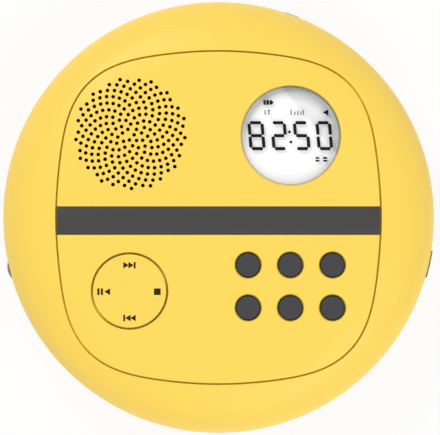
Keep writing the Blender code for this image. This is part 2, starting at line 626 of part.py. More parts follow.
def build_lower_shell():
    """Round tub with a flat base, screw columns, posts and the openings for the sockets."""
    shares = (0.0, 0.14, 0.32, 0.55, 0.78)
    outer = [belly_point(share) for share in shares] + [(BODY_RADIUS, WAIST_Z)]
    inner = [(BODY_RADIUS - SHELL_WALL, WAIST_Z)]
    inner += [belly_point(share, SHELL_WALL) for share in reversed(shares[1:])]
    inner += [(BASE_FLAT_RADIUS - SHELL_WALL, FLOOR_TOP_Z)]
    loops = [circle_loop(radius, z) for radius, z in outer + inner]
    shell = smooth(skin_loops("lower_shell", loops, YELLOW))

    fill_profile = [belly_point(share, SHELL_WALL / 2) for share in shares]
    fill_profile.append((BODY_RADIUS - SHELL_WALL / 2, WAIST_Z + OVERRUN))
    room = skin_loops("shell_room", [circle_loop(radius, z) for radius, z in fill_profile], YELLOW)
    for number, bearing in enumerate(CASE_SCREW_BEARINGS):
        centre = polar(CASE_SCREW_CIRCLE, bearing)
        column = turned(f"case_column_{number}", (
            (0, BASE_Z), (CASE_BOSS_RADIUS, BASE_Z), (CASE_BOSS_RADIUS, WAIST_Z - REST_GAP),
            (0, WAIST_Z - REST_GAP)), YELLOW, centre, SMALL_STEPS)
        combine(column, room, "INTERSECT")
        join(shell, column)
    for number, (x, y) in enumerate(DAMPER_PLACES):
        shoulder = DAMPER_BOTTOM_Z - REST_GAP
        post = turned(f"damper_post_{number}", (
            (0, BASE_Z), (DAMPER_NECK_RADIUS, BASE_Z), (DAMPER_NECK_RADIUS, shoulder),
            (DAMPER_BORE_RADIUS - REST_GAP, shoulder), (DAMPER_BORE_RADIUS - REST_GAP, DAMPER_TOP_Z),
            (0, DAMPER_TOP_Z)), YELLOW, (x, y), TINY_STEPS)
        combine(post, room, "INTERSECT")
        join(shell, post)
    for number, (x, y) in enumerate(MAIN_BOARD_POSTS):
        top = MAIN_BOARD_TOP_Z - BOARD_THICKNESS - REST_GAP
        post = turned(f"board_post_{number}", (
            (0, BASE_Z), (BOARD_POST_RADIUS, BASE_Z), (BOARD_POST_RADIUS, top), (0, top)),
            YELLOW, (x, y), TINY_STEPS)
        combine(post, room, "INTERSECT")
        join(shell, post)
    rib_half_x = BATTERY_WIDTH / 2 + REST_GAP + TRAY_RIB
    rib_half_y = BATTERY_LENGTH / 2 + REST_GAP + TRAY_RIB
    middle = (BATTERY_X, BATTERY_Y)
    outside = rounded_outline(rib_half_x, rib_half_y, BATTERY_CORNER, middle, 2)
    inside = rounded_outline(rib_half_x - TRAY_RIB, rib_half_y - TRAY_RIB, BATTERY_CORNER, middle, 2)
    fence = prism("cell_fence", outside, FLOOR_TOP_Z - OVERRUN, FLOOR_TOP_Z + TRAY_HEIGHT, YELLOW)
    cut(fence, prism("cell_fence_room", inside, FLOOR_TOP_Z, FLOOR_TOP_Z + TRAY_HEIGHT + OVERRUN, YELLOW))
    join(shell, fence)

    for number, bearing in enumerate(CASE_SCREW_BEARINGS):
        centre = polar(CASE_SCREW_CIRCLE, bearing)
        bore = turned(f"case_bore_{number}", (
            (0, BASE_Z - OVERRUN), (CASE_SCREW_HEAD_RADIUS + REST_GAP, BASE_Z - OVERRUN),
            (CASE_SCREW_HEAD_RADIUS + REST_GAP, CASE_SCREW_SEAT_Z),
            (CASE_SCREW_RADIUS + REST_GAP, CASE_SCREW_SEAT_Z),
            (CASE_SCREW_RADIUS + REST_GAP, WAIST_Z + OVERRUN), (0, WAIST_Z + OVERRUN)),
            YELLOW, centre, TINY_STEPS)
        cut(shell, bore)
    for number, bearing in enumerate(FOOT_BEARINGS):
        centre = polar(FOOT_CIRCLE, bearing)
        recess = turned(f"foot_recess_{number}", (
            (0, BASE_Z - OVERRUN), (FOOT_RADIUS + REST_GAP, BASE_Z - OVERRUN),
            (FOOT_RADIUS + REST_GAP, BASE_Z + FOOT_RECESS), (0, BASE_Z + FOOT_RECESS)),
            YELLOW, centre, SMALL_STEPS)
        cut(shell, recess)
    reach = BODY_RADIUS + OVERRUN
    jack_z = MAIN_BOARD_TOP_Z + REST_GAP + JACK_BODY_HEIGHT / 2
    hole_start = polar(reach - JACK_BODY_LENGTH / 2, JACK_BEARING)
    jack_hole = rod_between("jack_hole", (*hole_start, jack_z), (*polar(reach, JACK_BEARING), jack_z),
                            JACK_NOSE_RADIUS + REST_GAP, YELLOW)
    socket_z = MAIN_BOARD_TOP_Z + REST_GAP + SOCKET_HEIGHT / 2
    slot_outline = rounded_outline(SOCKET_WIDTH / 2 + REST_GAP, SOCKET_HEIGHT / 2 + REST_GAP,
                                   SOCKET_HEIGHT / 3)
    slot = prism("socket_slot", slot_outline, reach - SOCKET_LENGTH, reach, YELLOW)
    stand_on_edge(slot, SOCKET_BEARING, socket_z)
    cut(shell, jack_hole, slot)
    return shell


def stand_on_edge(thing, bearing, middle_z):
    """Lay a prism that was drawn upright so that its height runs outward along a bearing."""
    for vertex in thing.data.vertices:
        side, rise, out = vertex.co
        vertex.co = (out, side, middle_z + rise)
    return place_radially(thing, bearing)


def build_upper_ring():
    """Yellow ring round the lid, with its seam wall, screw bosses and side notches."""
    shares = (0.0, 0.35, 0.62, 0.80, 0.92, 0.98)
    loops = []
    inner_edge = BODY_RADIUS - SHELL_WALL
    for share in shares:
        loop = []
        for step in range(SHELL_STEPS):
            bearing = math.tau * step / SHELL_STEPS
            start = seam_radius(bearing, RING_EDGE)
            x, y = polar(start + (BODY_RADIUS - start) * share, bearing)
            loop.append((x, y, dome_z(x, y)))
        loops.append(loop)
    loops.append(circle_loop(BODY_RADIUS, WIDEST_Z))
    loops.append(circle_loop(BODY_RADIUS, WAIST_Z + REST_GAP))
    loops.append(circle_loop(inner_edge, WAIST_Z + REST_GAP))
    loops.append(circle_loop(inner_edge, WIDEST_Z))
    for share in reversed(shares[1:-1]):
        loop = []
        for step in range(SHELL_STEPS):
            bearing = math.tau * step / SHELL_STEPS
            start = seam_radius(bearing, RING_EDGE + SHELL_WALL)
            x, y = polar(start + (inner_edge - start) * share, bearing)
            loop.append((x, y, dome_z(x, y, SHELL_WALL)))
        loops.append(loop)
    loops.append(seam_loop(RING_EDGE + SHELL_WALL, inward=SHELL_WALL))
    loops.append(seam_loop(RING_EDGE + SHELL_WALL, DECK_TOP_Z + REST_GAP))
    loops.append(seam_loop(RING_EDGE, DECK_TOP_Z + REST_GAP))
    ring = smooth(skin_loops("upper_ring", loops, YELLOW, ring=True))

    mid_wall = SHELL_WALL / 2
    room = skin_loops("ring_room", [circle_loop(BODY_RADIUS - mid_wall, WAIST_Z)] + [
        [(*polar((BODY_RADIUS - mid_wall) * share, math.tau * step / SHELL_STEPS),
          dome_z((BODY_RADIUS - mid_wall) * share, 0, mid_wall)) for step in range(SHELL_STEPS)]
        for share in RING_ROOM_SHARES], YELLOW)
    for number, bearing in enumerate(CASE_SCREW_BEARINGS):
        centre = polar(CASE_SCREW_CIRCLE, bearing)
        boss = turned(f"ring_boss_{number}", (
            (0, DECK_TOP_Z + REST_GAP), (RING_BOSS_RADIUS, DECK_TOP_Z + REST_GAP),
            (RING_BOSS_RADIUS, BODY_TOP_Z), (0, BODY_TOP_Z)), YELLOW, centre, SMALL_STEPS)
        combine(boss, room, "INTERSECT")
        join(ring, boss)
        pilot = turned(f"ring_pilot_{number}", (
            (0, WAIST_Z), (CASE_SCREW_RADIUS + RUN_GAP, WAIST_Z),
            (CASE_SCREW_RADIUS + RUN_GAP, CASE_SCREW_TIP_Z + REST_GAP), (0, CASE_SCREW_TIP_Z + REST_GAP)),
            YELLOW, centre, TINY_STEPS)
        cut(ring, pilot)
    arm_half = HINGE_ARM_WIDTH / 2 + REST_GAP * 2
    for side in (-1, 1):
        middle = side * HINGE_ARM_X
        slot = block(f"arm_slot_{side}", (middle - arm_half, SEAM_HALF_DEPTH - SEAM_GAP - OVERRUN, WAIST_Z),
                     (middle + arm_half, SEAM_HALF_DEPTH + RING_EDGE + SHELL_WALL + OVERRUN,
                      HINGE_Z + HINGE_BARREL_RADIUS + OVERRUN), YELLOW)
        cut(ring, slot)
    wheel_notch = turned("wheel_notch", (
        (0, WAIST_Z - OVERRUN), (WHEEL_RADIUS + REST_GAP, WAIST_Z - OVERRUN),
        (WHEEL_RADIUS + REST_GAP, WHEEL_BOTTOM_Z + WHEEL_THICKNESS + REST_GAP),
        (0, WHEEL_BOTTOM_Z + WHEEL_THICKNESS + REST_GAP)), YELLOW, WHEEL_CENTRE, ROUND_STEPS)
    release_notch = block("release_notch", (
        BODY_RADIUS - RELEASE_HEAD_DEPTH - RELEASE_TRAVEL, RELEASE_FRONT_Y - REST_GAP, WAIST_Z - OVERRUN),
        (BODY_RADIUS + OVERRUN, RELEASE_BACK_Y + REST_GAP, RELEASE_TOP_Z + REST_GAP), YELLOW)
    cut(ring, wheel_notch, release_notch)
    return ring


def build_well_deck():
    """Tray that the disc lies in, with the spindle opening, pickup window and hinge ears."""
    ledge_bottom = DECK_TOP_Z - DECK_THICKNESS
    floor_bottom = WELL_FLOOR_Z - DECK_THICKNESS
    loops = [circle_loop(radius, z) for radius, z in (
        (HUB_SLEEVE_RADIUS * 2, WELL_FLOOR_Z), (WELL_RADIUS, WELL_FLOOR_Z), (WELL_RADIUS, DECK_TOP_Z),
        (DECK_RADIUS, DECK_TOP_Z), (DECK_RADIUS, ledge_bottom),
        (WELL_RADIUS + DECK_THICKNESS, ledge_bottom), (WELL_RADIUS + DECK_THICKNESS, floor_bottom),
        (HUB_SLEEVE_RADIUS * 2, floor_bottom))]
    deck = smooth(skin_loops("well_deck", loops, WELL_GREY, ring=True))

    ear = HINGE_EAR_THICKNESS
    for side in (-1, 1):
        for edge in (-1, 1):
            start = side * HINGE_ARM_X + edge * (HINGE_ARM_WIDTH / 2 + REST_GAP) - (ear if edge < 0 else 0)
            outline = [(-HINGE_BARREL_RADIUS, DECK_TOP_Z - OVERRUN - HINGE_Z),
                       (HINGE_BARREL_RADIUS, DECK_TOP_Z - OVERRUN - HINGE_Z)]
            outline += [(HINGE_BARREL_RADIUS * math.cos(math.pi * step / 6),
                         HINGE_BARREL_RADIUS * math.sin(math.pi * step / 6)) for step in range(7)]
            loops = [[(x, HINGE_Y + y, HINGE_Z + z) for y, z in outline] for x in (start, start + ear)]
            join(deck, skin_loops(f"hinge_ear_{side}_{edge}", loops, WELL_GREY))
    for number, (x, y) in enumerate(LID_REST_PLACES):
        top = COVER_BOTTOM_Z - REST_GAP
        rest = turned(f"lid_rest_{number}", (
            (0, DECK_TOP_Z - OVERRUN), (LID_REST_RADIUS, DECK_TOP_Z - OVERRUN), (LID_REST_RADIUS, top),
            (0, top)), WELL_GREY, (x, y), TINY_STEPS)
        join(deck, rest)

    window_half = LENS_CAP_RADIUS * 4
    window = prism("pickup_window", rounded_outline(
        window_half, (SLED_TRAVEL + LENS_CAP_RADIUS * 6) / 2, LENS_CAP_RADIUS * 2,
        (0, SLED_HOME_Y - SLED_TRAVEL / 2 + LENS_CAP_RADIUS * 1.8), 3),
        floor_bottom - OVERRUN, WELL_FLOOR_Z + OVERRUN, WELL_GREY)
    latch_slot = block("latch_slot", (
        LATCH_X - LATCH_THICKNESS / 2 - REST_GAP, LATCH_Y - LATCH_WIDTH / 2 - LATCH_SWING_ROOM,
        floor_bottom - OVERRUN), (LATCH_X + LATCH_THICKNESS / 2 + REST_GAP,
                                  LATCH_Y + LATCH_WIDTH / 2 + REST_GAP, DECK_TOP_Z + OVERRUN), WELL_GREY)
    barb_slot = block("barb_slot", (
        LATCH_X - LATCH_THICKNESS / 2 - LATCH_BARB - REST_GAP, LATCH_Y - LATCH_WIDTH / 2 - LATCH_SWING_ROOM,
        floor_bottom - OVERRUN), (LATCH_X, LATCH_Y + LATCH_WIDTH / 2 + REST_GAP, DECK_TOP_Z + OVERRUN),
        WELL_GREY)
    release_gap = block("release_gap", (
        RELEASE_WEB_INNER_X - RELEASE_TRAVEL - REST_GAP * 2, RELEASE_FRONT_Y - REST_GAP,
        ledge_bottom - OVERRUN), (BODY_RADIUS, RELEASE_BACK_Y + REST_GAP, DECK_TOP_Z + OVERRUN), WELL_GREY)
    wheel_gap = turned("wheel_gap", (
        (0, ledge_bottom - OVERRUN), (WHEEL_RADIUS + REST_GAP * 2, ledge_bottom - OVERRUN),
        (WHEEL_RADIUS + REST_GAP * 2, DECK_TOP_Z + OVERRUN), (0, DECK_TOP_Z + OVERRUN)),
        WELL_GREY, WHEEL_CENTRE, SMALL_STEPS)
    reach = HINGE_ARM_X * 2
    pin_bore = rod_between("ear_bore", (-reach, HINGE_Y, HINGE_Z), (reach, HINGE_Y, HINGE_Z),
                           HINGE_PIN_RADIUS + RUN_GAP, WELL_GREY, TINY_STEPS)
    cut(deck, window, latch_slot, barb_slot, release_gap, wheel_gap, pin_bore)
    for number, bearing in enumerate(CASE_SCREW_BEARINGS):
        centre = polar(CASE_SCREW_CIRCLE, bearing)
        bore = turned(f"deck_bore_{number}", (
            (0, ledge_bottom - OVERRUN), (CASE_SCREW_RADIUS + REST_GAP, ledge_bottom - OVERRUN),
            (CASE_SCREW_RADIUS + REST_GAP, DECK_TOP_Z + OVERRUN), (0, DECK_TOP_Z + OVERRUN)),
            WELL_GREY, centre, TINY_STEPS)
        cut(deck, bore)
    return deck


def build_hinge_pins():
    """Two steel pins that carry the lid's arms between the deck's ears."""
    reach = HINGE_ARM_WIDTH / 2 + REST_GAP + HINGE_EAR_THICKNESS
    for side, name in ((-1, "left"), (1, "right")):
        middle = side * HINGE_ARM_X
        rod_between(f"hinge_pin_{name}", (middle - reach, HINGE_Y, HINGE_Z),
                    (middle + reach, HINGE_Y, HINGE_Z), HINGE_PIN_RADIUS, STEEL, TINY_STEPS)


def build_lid_shell():
    """Outer skin of the lid: speaker holes, display, pad and button holes, and the band's recess."""
    top_shares = LID_TOP_SHARES
    edge_depths = [HINGE_DEPTH * share for share in LID_EDGE_SHARES]
    foot_z = COVER_TOP_Z + REST_GAP
    loops = [seam_loop(LID_EDGE, share=share) for share in reversed(top_shares)]
    for depth in edge_depths:
        loop = []
        for x, y, z in loops[len(top_shares) - 1]:
            bearing = math.atan2(y, x)
            loop.append((*polar(math.hypot(x, y) - lid_inset(depth), bearing), z - depth))
        loops.append(loop)
    loops.append(seam_loop(LID_EDGE - LID_FOOT_INSET, foot_z))
    loops.append(seam_loop(LID_EDGE - LID_FOOT_INSET - LID_WALL, foot_z))
    for depth in (edge_depths[2], edge_depths[1]):
        loop = []
        for x, y, z in loops[len(top_shares) - 1]:
            bearing = math.atan2(y, x)
            loop.append((*polar(math.hypot(x, y) - lid_inset(depth) - LID_WALL, bearing), z - depth))
        loops.append(loop)
    for share in top_shares[1:]:
        loop = []
        for x, y, z in seam_loop(LID_EDGE, share=share):
            loop.append((x, y, z - LID_SKIN))
        loops.append(loop)
    shell = smooth(skin_loops("lid_shell", loops, YELLOW))

    for number, (x, y) in enumerate(LID_SCREW_PLACES):
        boss = turned(f"lid_boss_{number}", (
            (0, foot_z), (LID_BOSS_RADIUS, foot_z), (LID_BOSS_RADIUS, dome_z(x, y) - LID_SKIN / 2),
            (0, dome_z(x, y) - LID_SKIN / 2)), YELLOW, (x, y), TINY_STEPS)
        join(shell, boss)
        pilot_top = COVER_BOTTOM_Z + LID_SCREW_LENGTH + REST_GAP
        pilot = turned(f"lid_pilot_{number}", (
            (0, foot_z - OVERRUN), (LID_SCREW_RADIUS + RUN_GAP, foot_z - OVERRUN),
            (LID_SCREW_RADIUS + RUN_GAP, pilot_top), (0, pilot_top)), YELLOW, (x, y), TINY_STEPS)
        cut(shell, pilot)

    low = BODY_TOP_Z - LID_SKIN * 3
    high = BODY_TOP_Z + OVERRUN
    display_hole = upright_cutter("display_hole", DISPLAY_X, DISPLAY_Y, DISPLAY_HOLE_RADIUS, low, high,
                                  ROUND_STEPS)
    pad_hole = upright_cutter("pad_hole", PAD_X, PAD_Y, PAD_HOLE_RADIUS, low, high, ROUND_STEPS)
    cut(shell, display_hole, pad_hole)
    for number, (x, y) in enumerate(BUTTON_PLACES):
        cut(shell, upright_cutter(f"button_hole_{number}", x, y, BUTTON_HOLE_RADIUS, low, high, SMALL_STEPS))
    recess_depth = REST_GAP + BAND_THICKNESS
    cut(shell, band_solid("band_recess", recess_depth, OVERRUN, BAND_WIDTH / 2 + REST_GAP, OVERRUN))
    cut(shell, grille_cutter())
    return shell


def upright_cutter(name, x, y, radius, bottom, top, steps):
    """A round tool standing upright."""
    return turned(name, ((0, bottom), (radius, bottom), (radius, top), (0, top)), YELLOW, (x, y), steps)


def grille_cutter():
    """All speaker holes as one tool. Each hole turns by the golden angle from the one before."""
    golden = math.pi * (3.0 - math.sqrt(5.0))
    spread = (GRILLE_RADIUS - GRILLE_HOLE_RADIUS) / math.sqrt(GRILLE_HOLE_COUNT)
    vertices = []
    faces = []
    for number in range(GRILLE_HOLE_COUNT):
        away = spread * math.sqrt(number + 1)
        bearing = GRILLE_START + number * golden
        x = GRILLE_X + away * math.cos(bearing)
        y = GRILLE_Y + away * math.sin(bearing)
        first = len(vertices)
        for z in (dome_z(x, y) - LID_SKIN - REST_GAP * 2, dome_z(x, y) + OVERRUN):
            for corner in range(GRILLE_HOLE_SIDES):
                angle = math.tau * corner / GRILLE_HOLE_SIDES
                vertices.append((x + GRILLE_HOLE_RADIUS * math.cos(angle),
                                 y + GRILLE_HOLE_RADIUS * math.sin(angle), z))
        sides = GRILLE_HOLE_SIDES
        for corner in range(sides):
            after = (corner + 1) % sides
            faces.append((first + corner, first + after, first + sides + after, first + sides + corner))
        faces.append(tuple(first + corner for corner in reversed(range(sides))))
        faces.append(tuple(first + sides + corner for corner in range(sides)))
    return make_object("grille_holes", vertices, faces, YELLOW)


def band_solid(name, below, above, half_width, overhang, finish=None):
    """The strip across the lid between two lines, following the dome from seam to seam."""
    reach = SEAM_HALF_WIDTH + LID_EDGE + overhang
    loops = []
    for step in range(BAND_STEPS + 1):
        x = -reach + 2 * reach * step / BAND_STEPS
        surface = dome_z(x, BAND_Y)
        loops.append([
            (x, BAND_Y - half_width, surface - below), (x, BAND_Y + half_width, surface - below),
            (x, BAND_Y + half_width, surface + above), (x, BAND_Y - half_width, surface + above)])
    return skin_loops(name, loops, finish or YELLOW)


def build_band_strip():
    """Dark plastic strip bonded into its recess, cut to the lid's outline at both ends."""
    return band_solid("band_strip", BAND_THICKNESS, 0.0, BAND_WIDTH / 2, 0.0, GREY)


def build_lid_cover():
    """Inner cover of the lid with the two moulded hinge arms, the latch lug and the board posts."""
    grow = LID_EDGE - LID_FOOT_INSET
    rims = [seam_loop(grow, z) for z in (COVER_BOTTOM_Z, COVER_TOP_Z)]
    cover = smooth(skin_loops("lid_cover", rims, WELL_GREY))

    foot_bottom = COVER_BOTTOM_Z - HINGE_FOOT_DROP
    foot_top = foot_bottom + HINGE_FOOT_THICKNESS
    for side in (-1, 1):
        low_x = side * HINGE_ARM_X - HINGE_ARM_WIDTH / 2
        outline = [(HINGE_BARREL_RADIUS * math.cos(math.pi * step / 6),
                    HINGE_BARREL_RADIUS * math.sin(math.pi * step / 6)) for step in range(7)]
        front = SEAM_HALF_DEPTH + grow - HINGE_FOOT_THICKNESS - HINGE_Y
        outline += [(-HINGE_BARREL_RADIUS, foot_top - HINGE_Z), (front, foot_top - HINGE_Z),
                    (front, foot_bottom - HINGE_Z), (HINGE_BARREL_RADIUS, foot_bottom - HINGE_Z)]
        loops = [[(x, HINGE_Y + y, HINGE_Z + z) for y, z in outline]
                 for x in (low_x, low_x + HINGE_ARM_WIDTH)]
        join(cover, skin_loops(f"hinge_arm_{side}", loops, WELL_GREY))
    for number, (x, y) in enumerate(KEY_BOARD_POSTS):
        top = KEY_BOARD_TOP_Z - BOARD_THICKNESS - REST_GAP
        root = COVER_BOTTOM_Z + COVER_THICKNESS / 2
        post = turned(f"key_post_{number}", (
            (0, root), (KEY_POST_RADIUS, root), (KEY_POST_RADIUS, top), (0, top)),
            WELL_GREY, (x, y), TINY_STEPS)
        join(cover, post)
    inner_x = LATCH_X - LATCH_THICKNESS / 2
    outer_x = LATCH_X + LATCH_THICKNESS / 2
    barb_top = SLIDE_TOP_Z - SLIDE_THICKNESS - REST_GAP
    barb_bottom = barb_top - LATCH_BARB_HEIGHT
    root = COVER_TOP_Z - COVER_THICKNESS / 2
    hook = [(outer_x, root), (inner_x, root), (inner_x, barb_top), (inner_x - LATCH_BARB, barb_top),
            (inner_x, barb_bottom), (outer_x, barb_bottom)]
    loops = [[(x, y, z) for x, z in hook] for y in (LATCH_Y - LATCH_WIDTH / 2, LATCH_Y + LATCH_WIDTH / 2)]
    join(cover, skin_loops("latch_lug", loops, WELL_GREY))
    for number, (x, y) in enumerate(LID_SCREW_PLACES):
        bore = turned(f"cover_bore_{number}", (
            (0, COVER_BOTTOM_Z - OVERRUN), (LID_SCREW_HEAD_RADIUS + REST_GAP, COVER_BOTTOM_Z - OVERRUN),
            (LID_SCREW_HEAD_RADIUS + REST_GAP, COVER_BOTTOM_Z + LID_SCREW_HEAD_HEIGHT),
            (LID_SCREW_RADIUS + RUN_GAP, COVER_BOTTOM_Z + LID_SCREW_HEAD_HEIGHT),
            (LID_SCREW_RADIUS + RUN_GAP, COVER_TOP_Z + OVERRUN), (0, COVER_TOP_Z + OVERRUN)),
            WELL_GREY, (x, y), TINY_STEPS)
        cut(cover, bore)
    reach = HINGE_ARM_X * 2
    pin_bore = rod_between("arm_bore", (-reach, HINGE_Y, HINGE_Z), (reach, HINGE_Y, HINGE_Z),
                           HINGE_PIN_RADIUS + RUN_GAP, WELL_GREY, TINY_STEPS)
    cut(cover, pin_bore)
    return cover


def domed_plug(name, x, y, radius, rise, lower_points, finish, steps=ROUND_STEPS):
    """A round cap whose top follows the dome. Its lower profile runs (radius, z) from the rim inwards."""
    loops = []
    for share in (0.5, 1.0):
        loops.append([
            (x + radius * share * math.cos(math.tau * step / steps),
             y + radius * share * math.sin(math.tau * step / steps),
             dome_z(x + radius * share * math.cos(math.tau * step / steps),
                    y + radius * share * math.sin(math.tau * step / steps)) + rise)
            for step in range(steps)])
    for ring_radius, z in lower_points:
        loops.append([
            (x + ring_radius * math.cos(math.tau * step / steps),
             y + ring_radius * math.sin(math.tau * step / steps), z)
            for step in range(steps)])
    return smooth(skin_loops(name, loops, finish))


def build_display():
    """Clear lens flush with the lid, and the white panel in its holder below."""
    lens_radius = DISPLAY_HOLE_RADIUS - REST_GAP
    steps = ROUND_STEPS
    loops = []
    for share, drop in ((0.5, 0.0), (1.0, 0.0), (1.0, LENS_THICKNESS), (0.5, LENS_THICKNESS)):
        loops.append([
            (DISPLAY_X + lens_radius * share * math.cos(math.tau * step / steps),
             DISPLAY_Y + lens_radius * share * math.sin(math.tau * step / steps),
             dome_z(DISPLAY_X + lens_radius * share * math.cos(math.tau * step / steps),
                    DISPLAY_Y + lens_radius * share * math.sin(math.tau * step / steps)) - drop)
            for step in range(steps)])
    smooth(skin_loops("display_lens", loops, CLEAR))

    panel_radius = DISPLAY_HOLE_RADIUS - DISPLAY_HOLDER_WALL / 2
    inside = panel_radius + REST_GAP
    outside = inside + DISPLAY_HOLDER_WALL
    flange_radius = outside + DISPLAY_FLANGE_WIDTH
    flange_top = lowest_skin_z(DISPLAY_X, DISPLAY_Y, flange_radius) - REST_GAP
    bottom = flange_top - DISPLAY_PANEL_THICKNESS
    turned("display_panel", (
        (0, bottom), (panel_radius, bottom), (panel_radius, flange_top), (0, flange_top)),
        WHITE, (DISPLAY_X, DISPLAY_Y), ROUND_STEPS)

    floor_top = bottom - REST_GAP
    floor = floor_top - DISPLAY_HOLDER_FLOOR
    holder = turned("display_holder", (
        (0, floor), (outside, floor), (outside, flange_top - DISPLAY_HOLDER_FLOOR),
        (flange_radius, flange_top - DISPLAY_HOLDER_FLOOR), (flange_radius, flange_top),
        (inside, flange_top), (inside, floor_top), (0, floor_top)),
        GREY, (DISPLAY_X, DISPLAY_Y), ROUND_STEPS)
    return holder


def build_speaker():
    """Pressed frame, paper cone and ring magnet of the speaker."""
    centre = (GRILLE_X, GRILLE_Y)
    top = lowest_skin_z(GRILLE_X, GRILLE_Y, SPEAKER_RADIUS) - REST_GAP
    wall = SPEAKER_FLANGE
    magnet_bottom = COVER_TOP_Z + MAGNET_CLEARANCE
    magnet_top = magnet_bottom + MAGNET_HEIGHT
    neck_z = magnet_top + REST_GAP + wall
    coil = MAGNET_RADIUS / 2
    turned("speaker_frame", (
        (MAGNET_RADIUS, neck_z - wall), (SPEAKER_RADIUS - wall * 1.5, top - wall),
        (SPEAKER_RADIUS, top - wall), (SPEAKER_RADIUS, top), (SPEAKER_RADIUS - wall * 1.2, top),
        (MAGNET_RADIUS - wall / 2, neck_z), (coil, neck_z), (coil, neck_z - wall)),
        STEEL, centre, ROUND_STEPS)
    cone_rim = SPEAKER_RADIUS - wall * 2.5
    turned("speaker_cone", (
        (0, neck_z + wall), (coil, neck_z + wall), (cone_rim, top - REST_GAP),
        (cone_rim, top + REST_GAP), (cone_rim - wall * 1.5, top), (coil + REST_GAP, neck_z + wall * 2),
        (coil * 0.7, neck_z + wall * 2.8), (0, neck_z + wall * 3)), PAPER, centre, ROUND_STEPS)
    turned("speaker_magnet", (
        (0, magnet_bottom), (MAGNET_RADIUS, magnet_bottom), (MAGNET_RADIUS, magnet_top), (0, magnet_top)),
        STEEL, centre, ROUND_STEPS)


def build_keys():
    """Key board, rubber mat with its domes, the six buttons, and the four-way pad on its pillar."""
    board_depth = KEY_BOARD_BACK_Y - KEY_BOARD_FRONT_Y
    outline = rounded_outline(KEY_BOARD_HALF_WIDTH, board_depth / 2, BUTTON_STEM_RADIUS,
                              (0, KEY_BOARD_FRONT_Y + board_depth / 2), 3)
    prism("key_board", outline, KEY_BOARD_TOP_Z - BOARD_THICKNESS, KEY_BOARD_TOP_Z, BOARD)

    mat_bottom = KEY_BOARD_TOP_Z + REST_GAP
    mat_top = mat_bottom + KEY_MAT_THICKNESS
    mat = prism("key_mat", outline, mat_bottom, mat_top, RUBBER)
    keys = list(BUTTON_PLACES) + list(PAD_KEY_PLACES)
    for number, (x, y) in enumerate(keys):
        join(mat, turned(f"key_dome_{number}", (
            (0, mat_top - KEY_MAT_THICKNESS / 2), (KEY_DOME_RADIUS, mat_top - KEY_MAT_THICKNESS / 2),
            (KEY_DOME_RADIUS * 0.7, KEY_DOME_TOP_Z), (0, KEY_DOME_TOP_Z)), RUBBER, (x, y), TINY_STEPS))
    cut(mat, upright_cutter("pillar_hole", PAD_X, PAD_Y, PAD_PILLAR_RADIUS + REST_GAP * 2,
                            mat_bottom - OVERRUN, mat_top + OVERRUN, SMALL_STEPS))

    cap_radius = BUTTON_HOLE_RADIUS - BUTTON_GAP
    for number, (x, y) in enumerate(BUTTON_PLACES):
        flange_top = lowest_skin_z(x, y, BUTTON_HOLE_RADIUS + BUTTON_FLANGE_WIDTH) - REST_GAP
        flange_bottom = flange_top - BUTTON_FLANGE_THICKNESS
        stem_bottom = KEY_DOME_TOP_Z + BUTTON_TRAVEL + REST_GAP / 2
        domed_plug(f"button_{number + 1}", x, y, cap_radius, BUTTON_RISE, (
            (cap_radius, flange_top), (BUTTON_HOLE_RADIUS + BUTTON_FLANGE_WIDTH / 2, flange_top),
            (BUTTON_HOLE_RADIUS + BUTTON_FLANGE_WIDTH / 2, flange_bottom),
            (BUTTON_STEM_RADIUS, flange_bottom), (BUTTON_STEM_RADIUS, stem_bottom)), GREY, SMALL_STEPS + 2)

    pad_radius = PAD_HOLE_RADIUS - PAD_GAP
    flange_radius = PAD_HOLE_RADIUS + PAD_FLANGE_WIDTH / 2
    flange_top = lowest_skin_z(PAD_X, PAD_Y, flange_radius) - PAD_ROCK_ROOM
    pad_bottom = flange_top - PAD_FLANGE_THICKNESS
    pad = domed_plug("control_pad", PAD_X, PAD_Y, pad_radius, PAD_RISE, (
        (pad_radius, flange_top), (flange_radius, flange_top), (flange_radius, pad_bottom)), YELLOW)
    for number, (x, y) in enumerate(PAD_KEY_PLACES):
        nub_bottom = KEY_DOME_TOP_Z + PAD_NUB_GAP
        nub_root = pad_bottom + PAD_FLANGE_THICKNESS / 2
        join(pad, turned(f"pad_nub_{number}", (
            (0, nub_bottom), (PAD_NUB_RADIUS, nub_bottom), (PAD_NUB_RADIUS, nub_root), (0, nub_root)),
            YELLOW, (x, y), TINY_STEPS))
    turned("pad_pillar", (
        (0, PAD_PIVOT_Z), (PAD_PILLAR_RADIUS, PAD_PIVOT_Z), (PAD_PILLAR_RADIUS, pad_bottom - REST_GAP),
        (0, pad_bottom - REST_GAP)), RUBBER, (PAD_X, PAD_Y), SMALL_STEPS)


def lowest_skin_z(x, y, radius):
    """Lowest underside of the lid's skin over a round area."""
    away = math.hypot(x, y)
    share = (away + radius) / away
    return dome_z(x * share, y * share) - LID_SKIN


def gear_outline(teeth, phase):
    """Plan outline of a spur gear with straight-sided teeth, in mesh size TOOTH_MODULE."""
    pitch_radius = TOOTH_MODULE * teeth / 2
    tip = pitch_radius + TOOTH_MODULE * TOOTH_TIP_SHARE
    root = pitch_radius - TOOTH_MODULE * TOOTH_ROOT_SHARE
    outline = []
    for tooth in range(teeth):
        middle = phase + math.tau * tooth / teeth
        for radius, half_share in ((root, TOOTH_ROOT_WIDTH_SHARE), (tip, TOOTH_TIP_WIDTH_SHARE)):
            outline.append((radius, middle - math.tau / teeth * half_share))
        for radius, half_share in ((tip, TOOTH_TIP_WIDTH_SHARE), (root, TOOTH_ROOT_WIDTH_SHARE)):
            outline.append((radius, middle + math.tau / teeth * half_share))
    return [(radius * math.cos(angle), radius * math.sin(angle)) for radius, angle in outline]


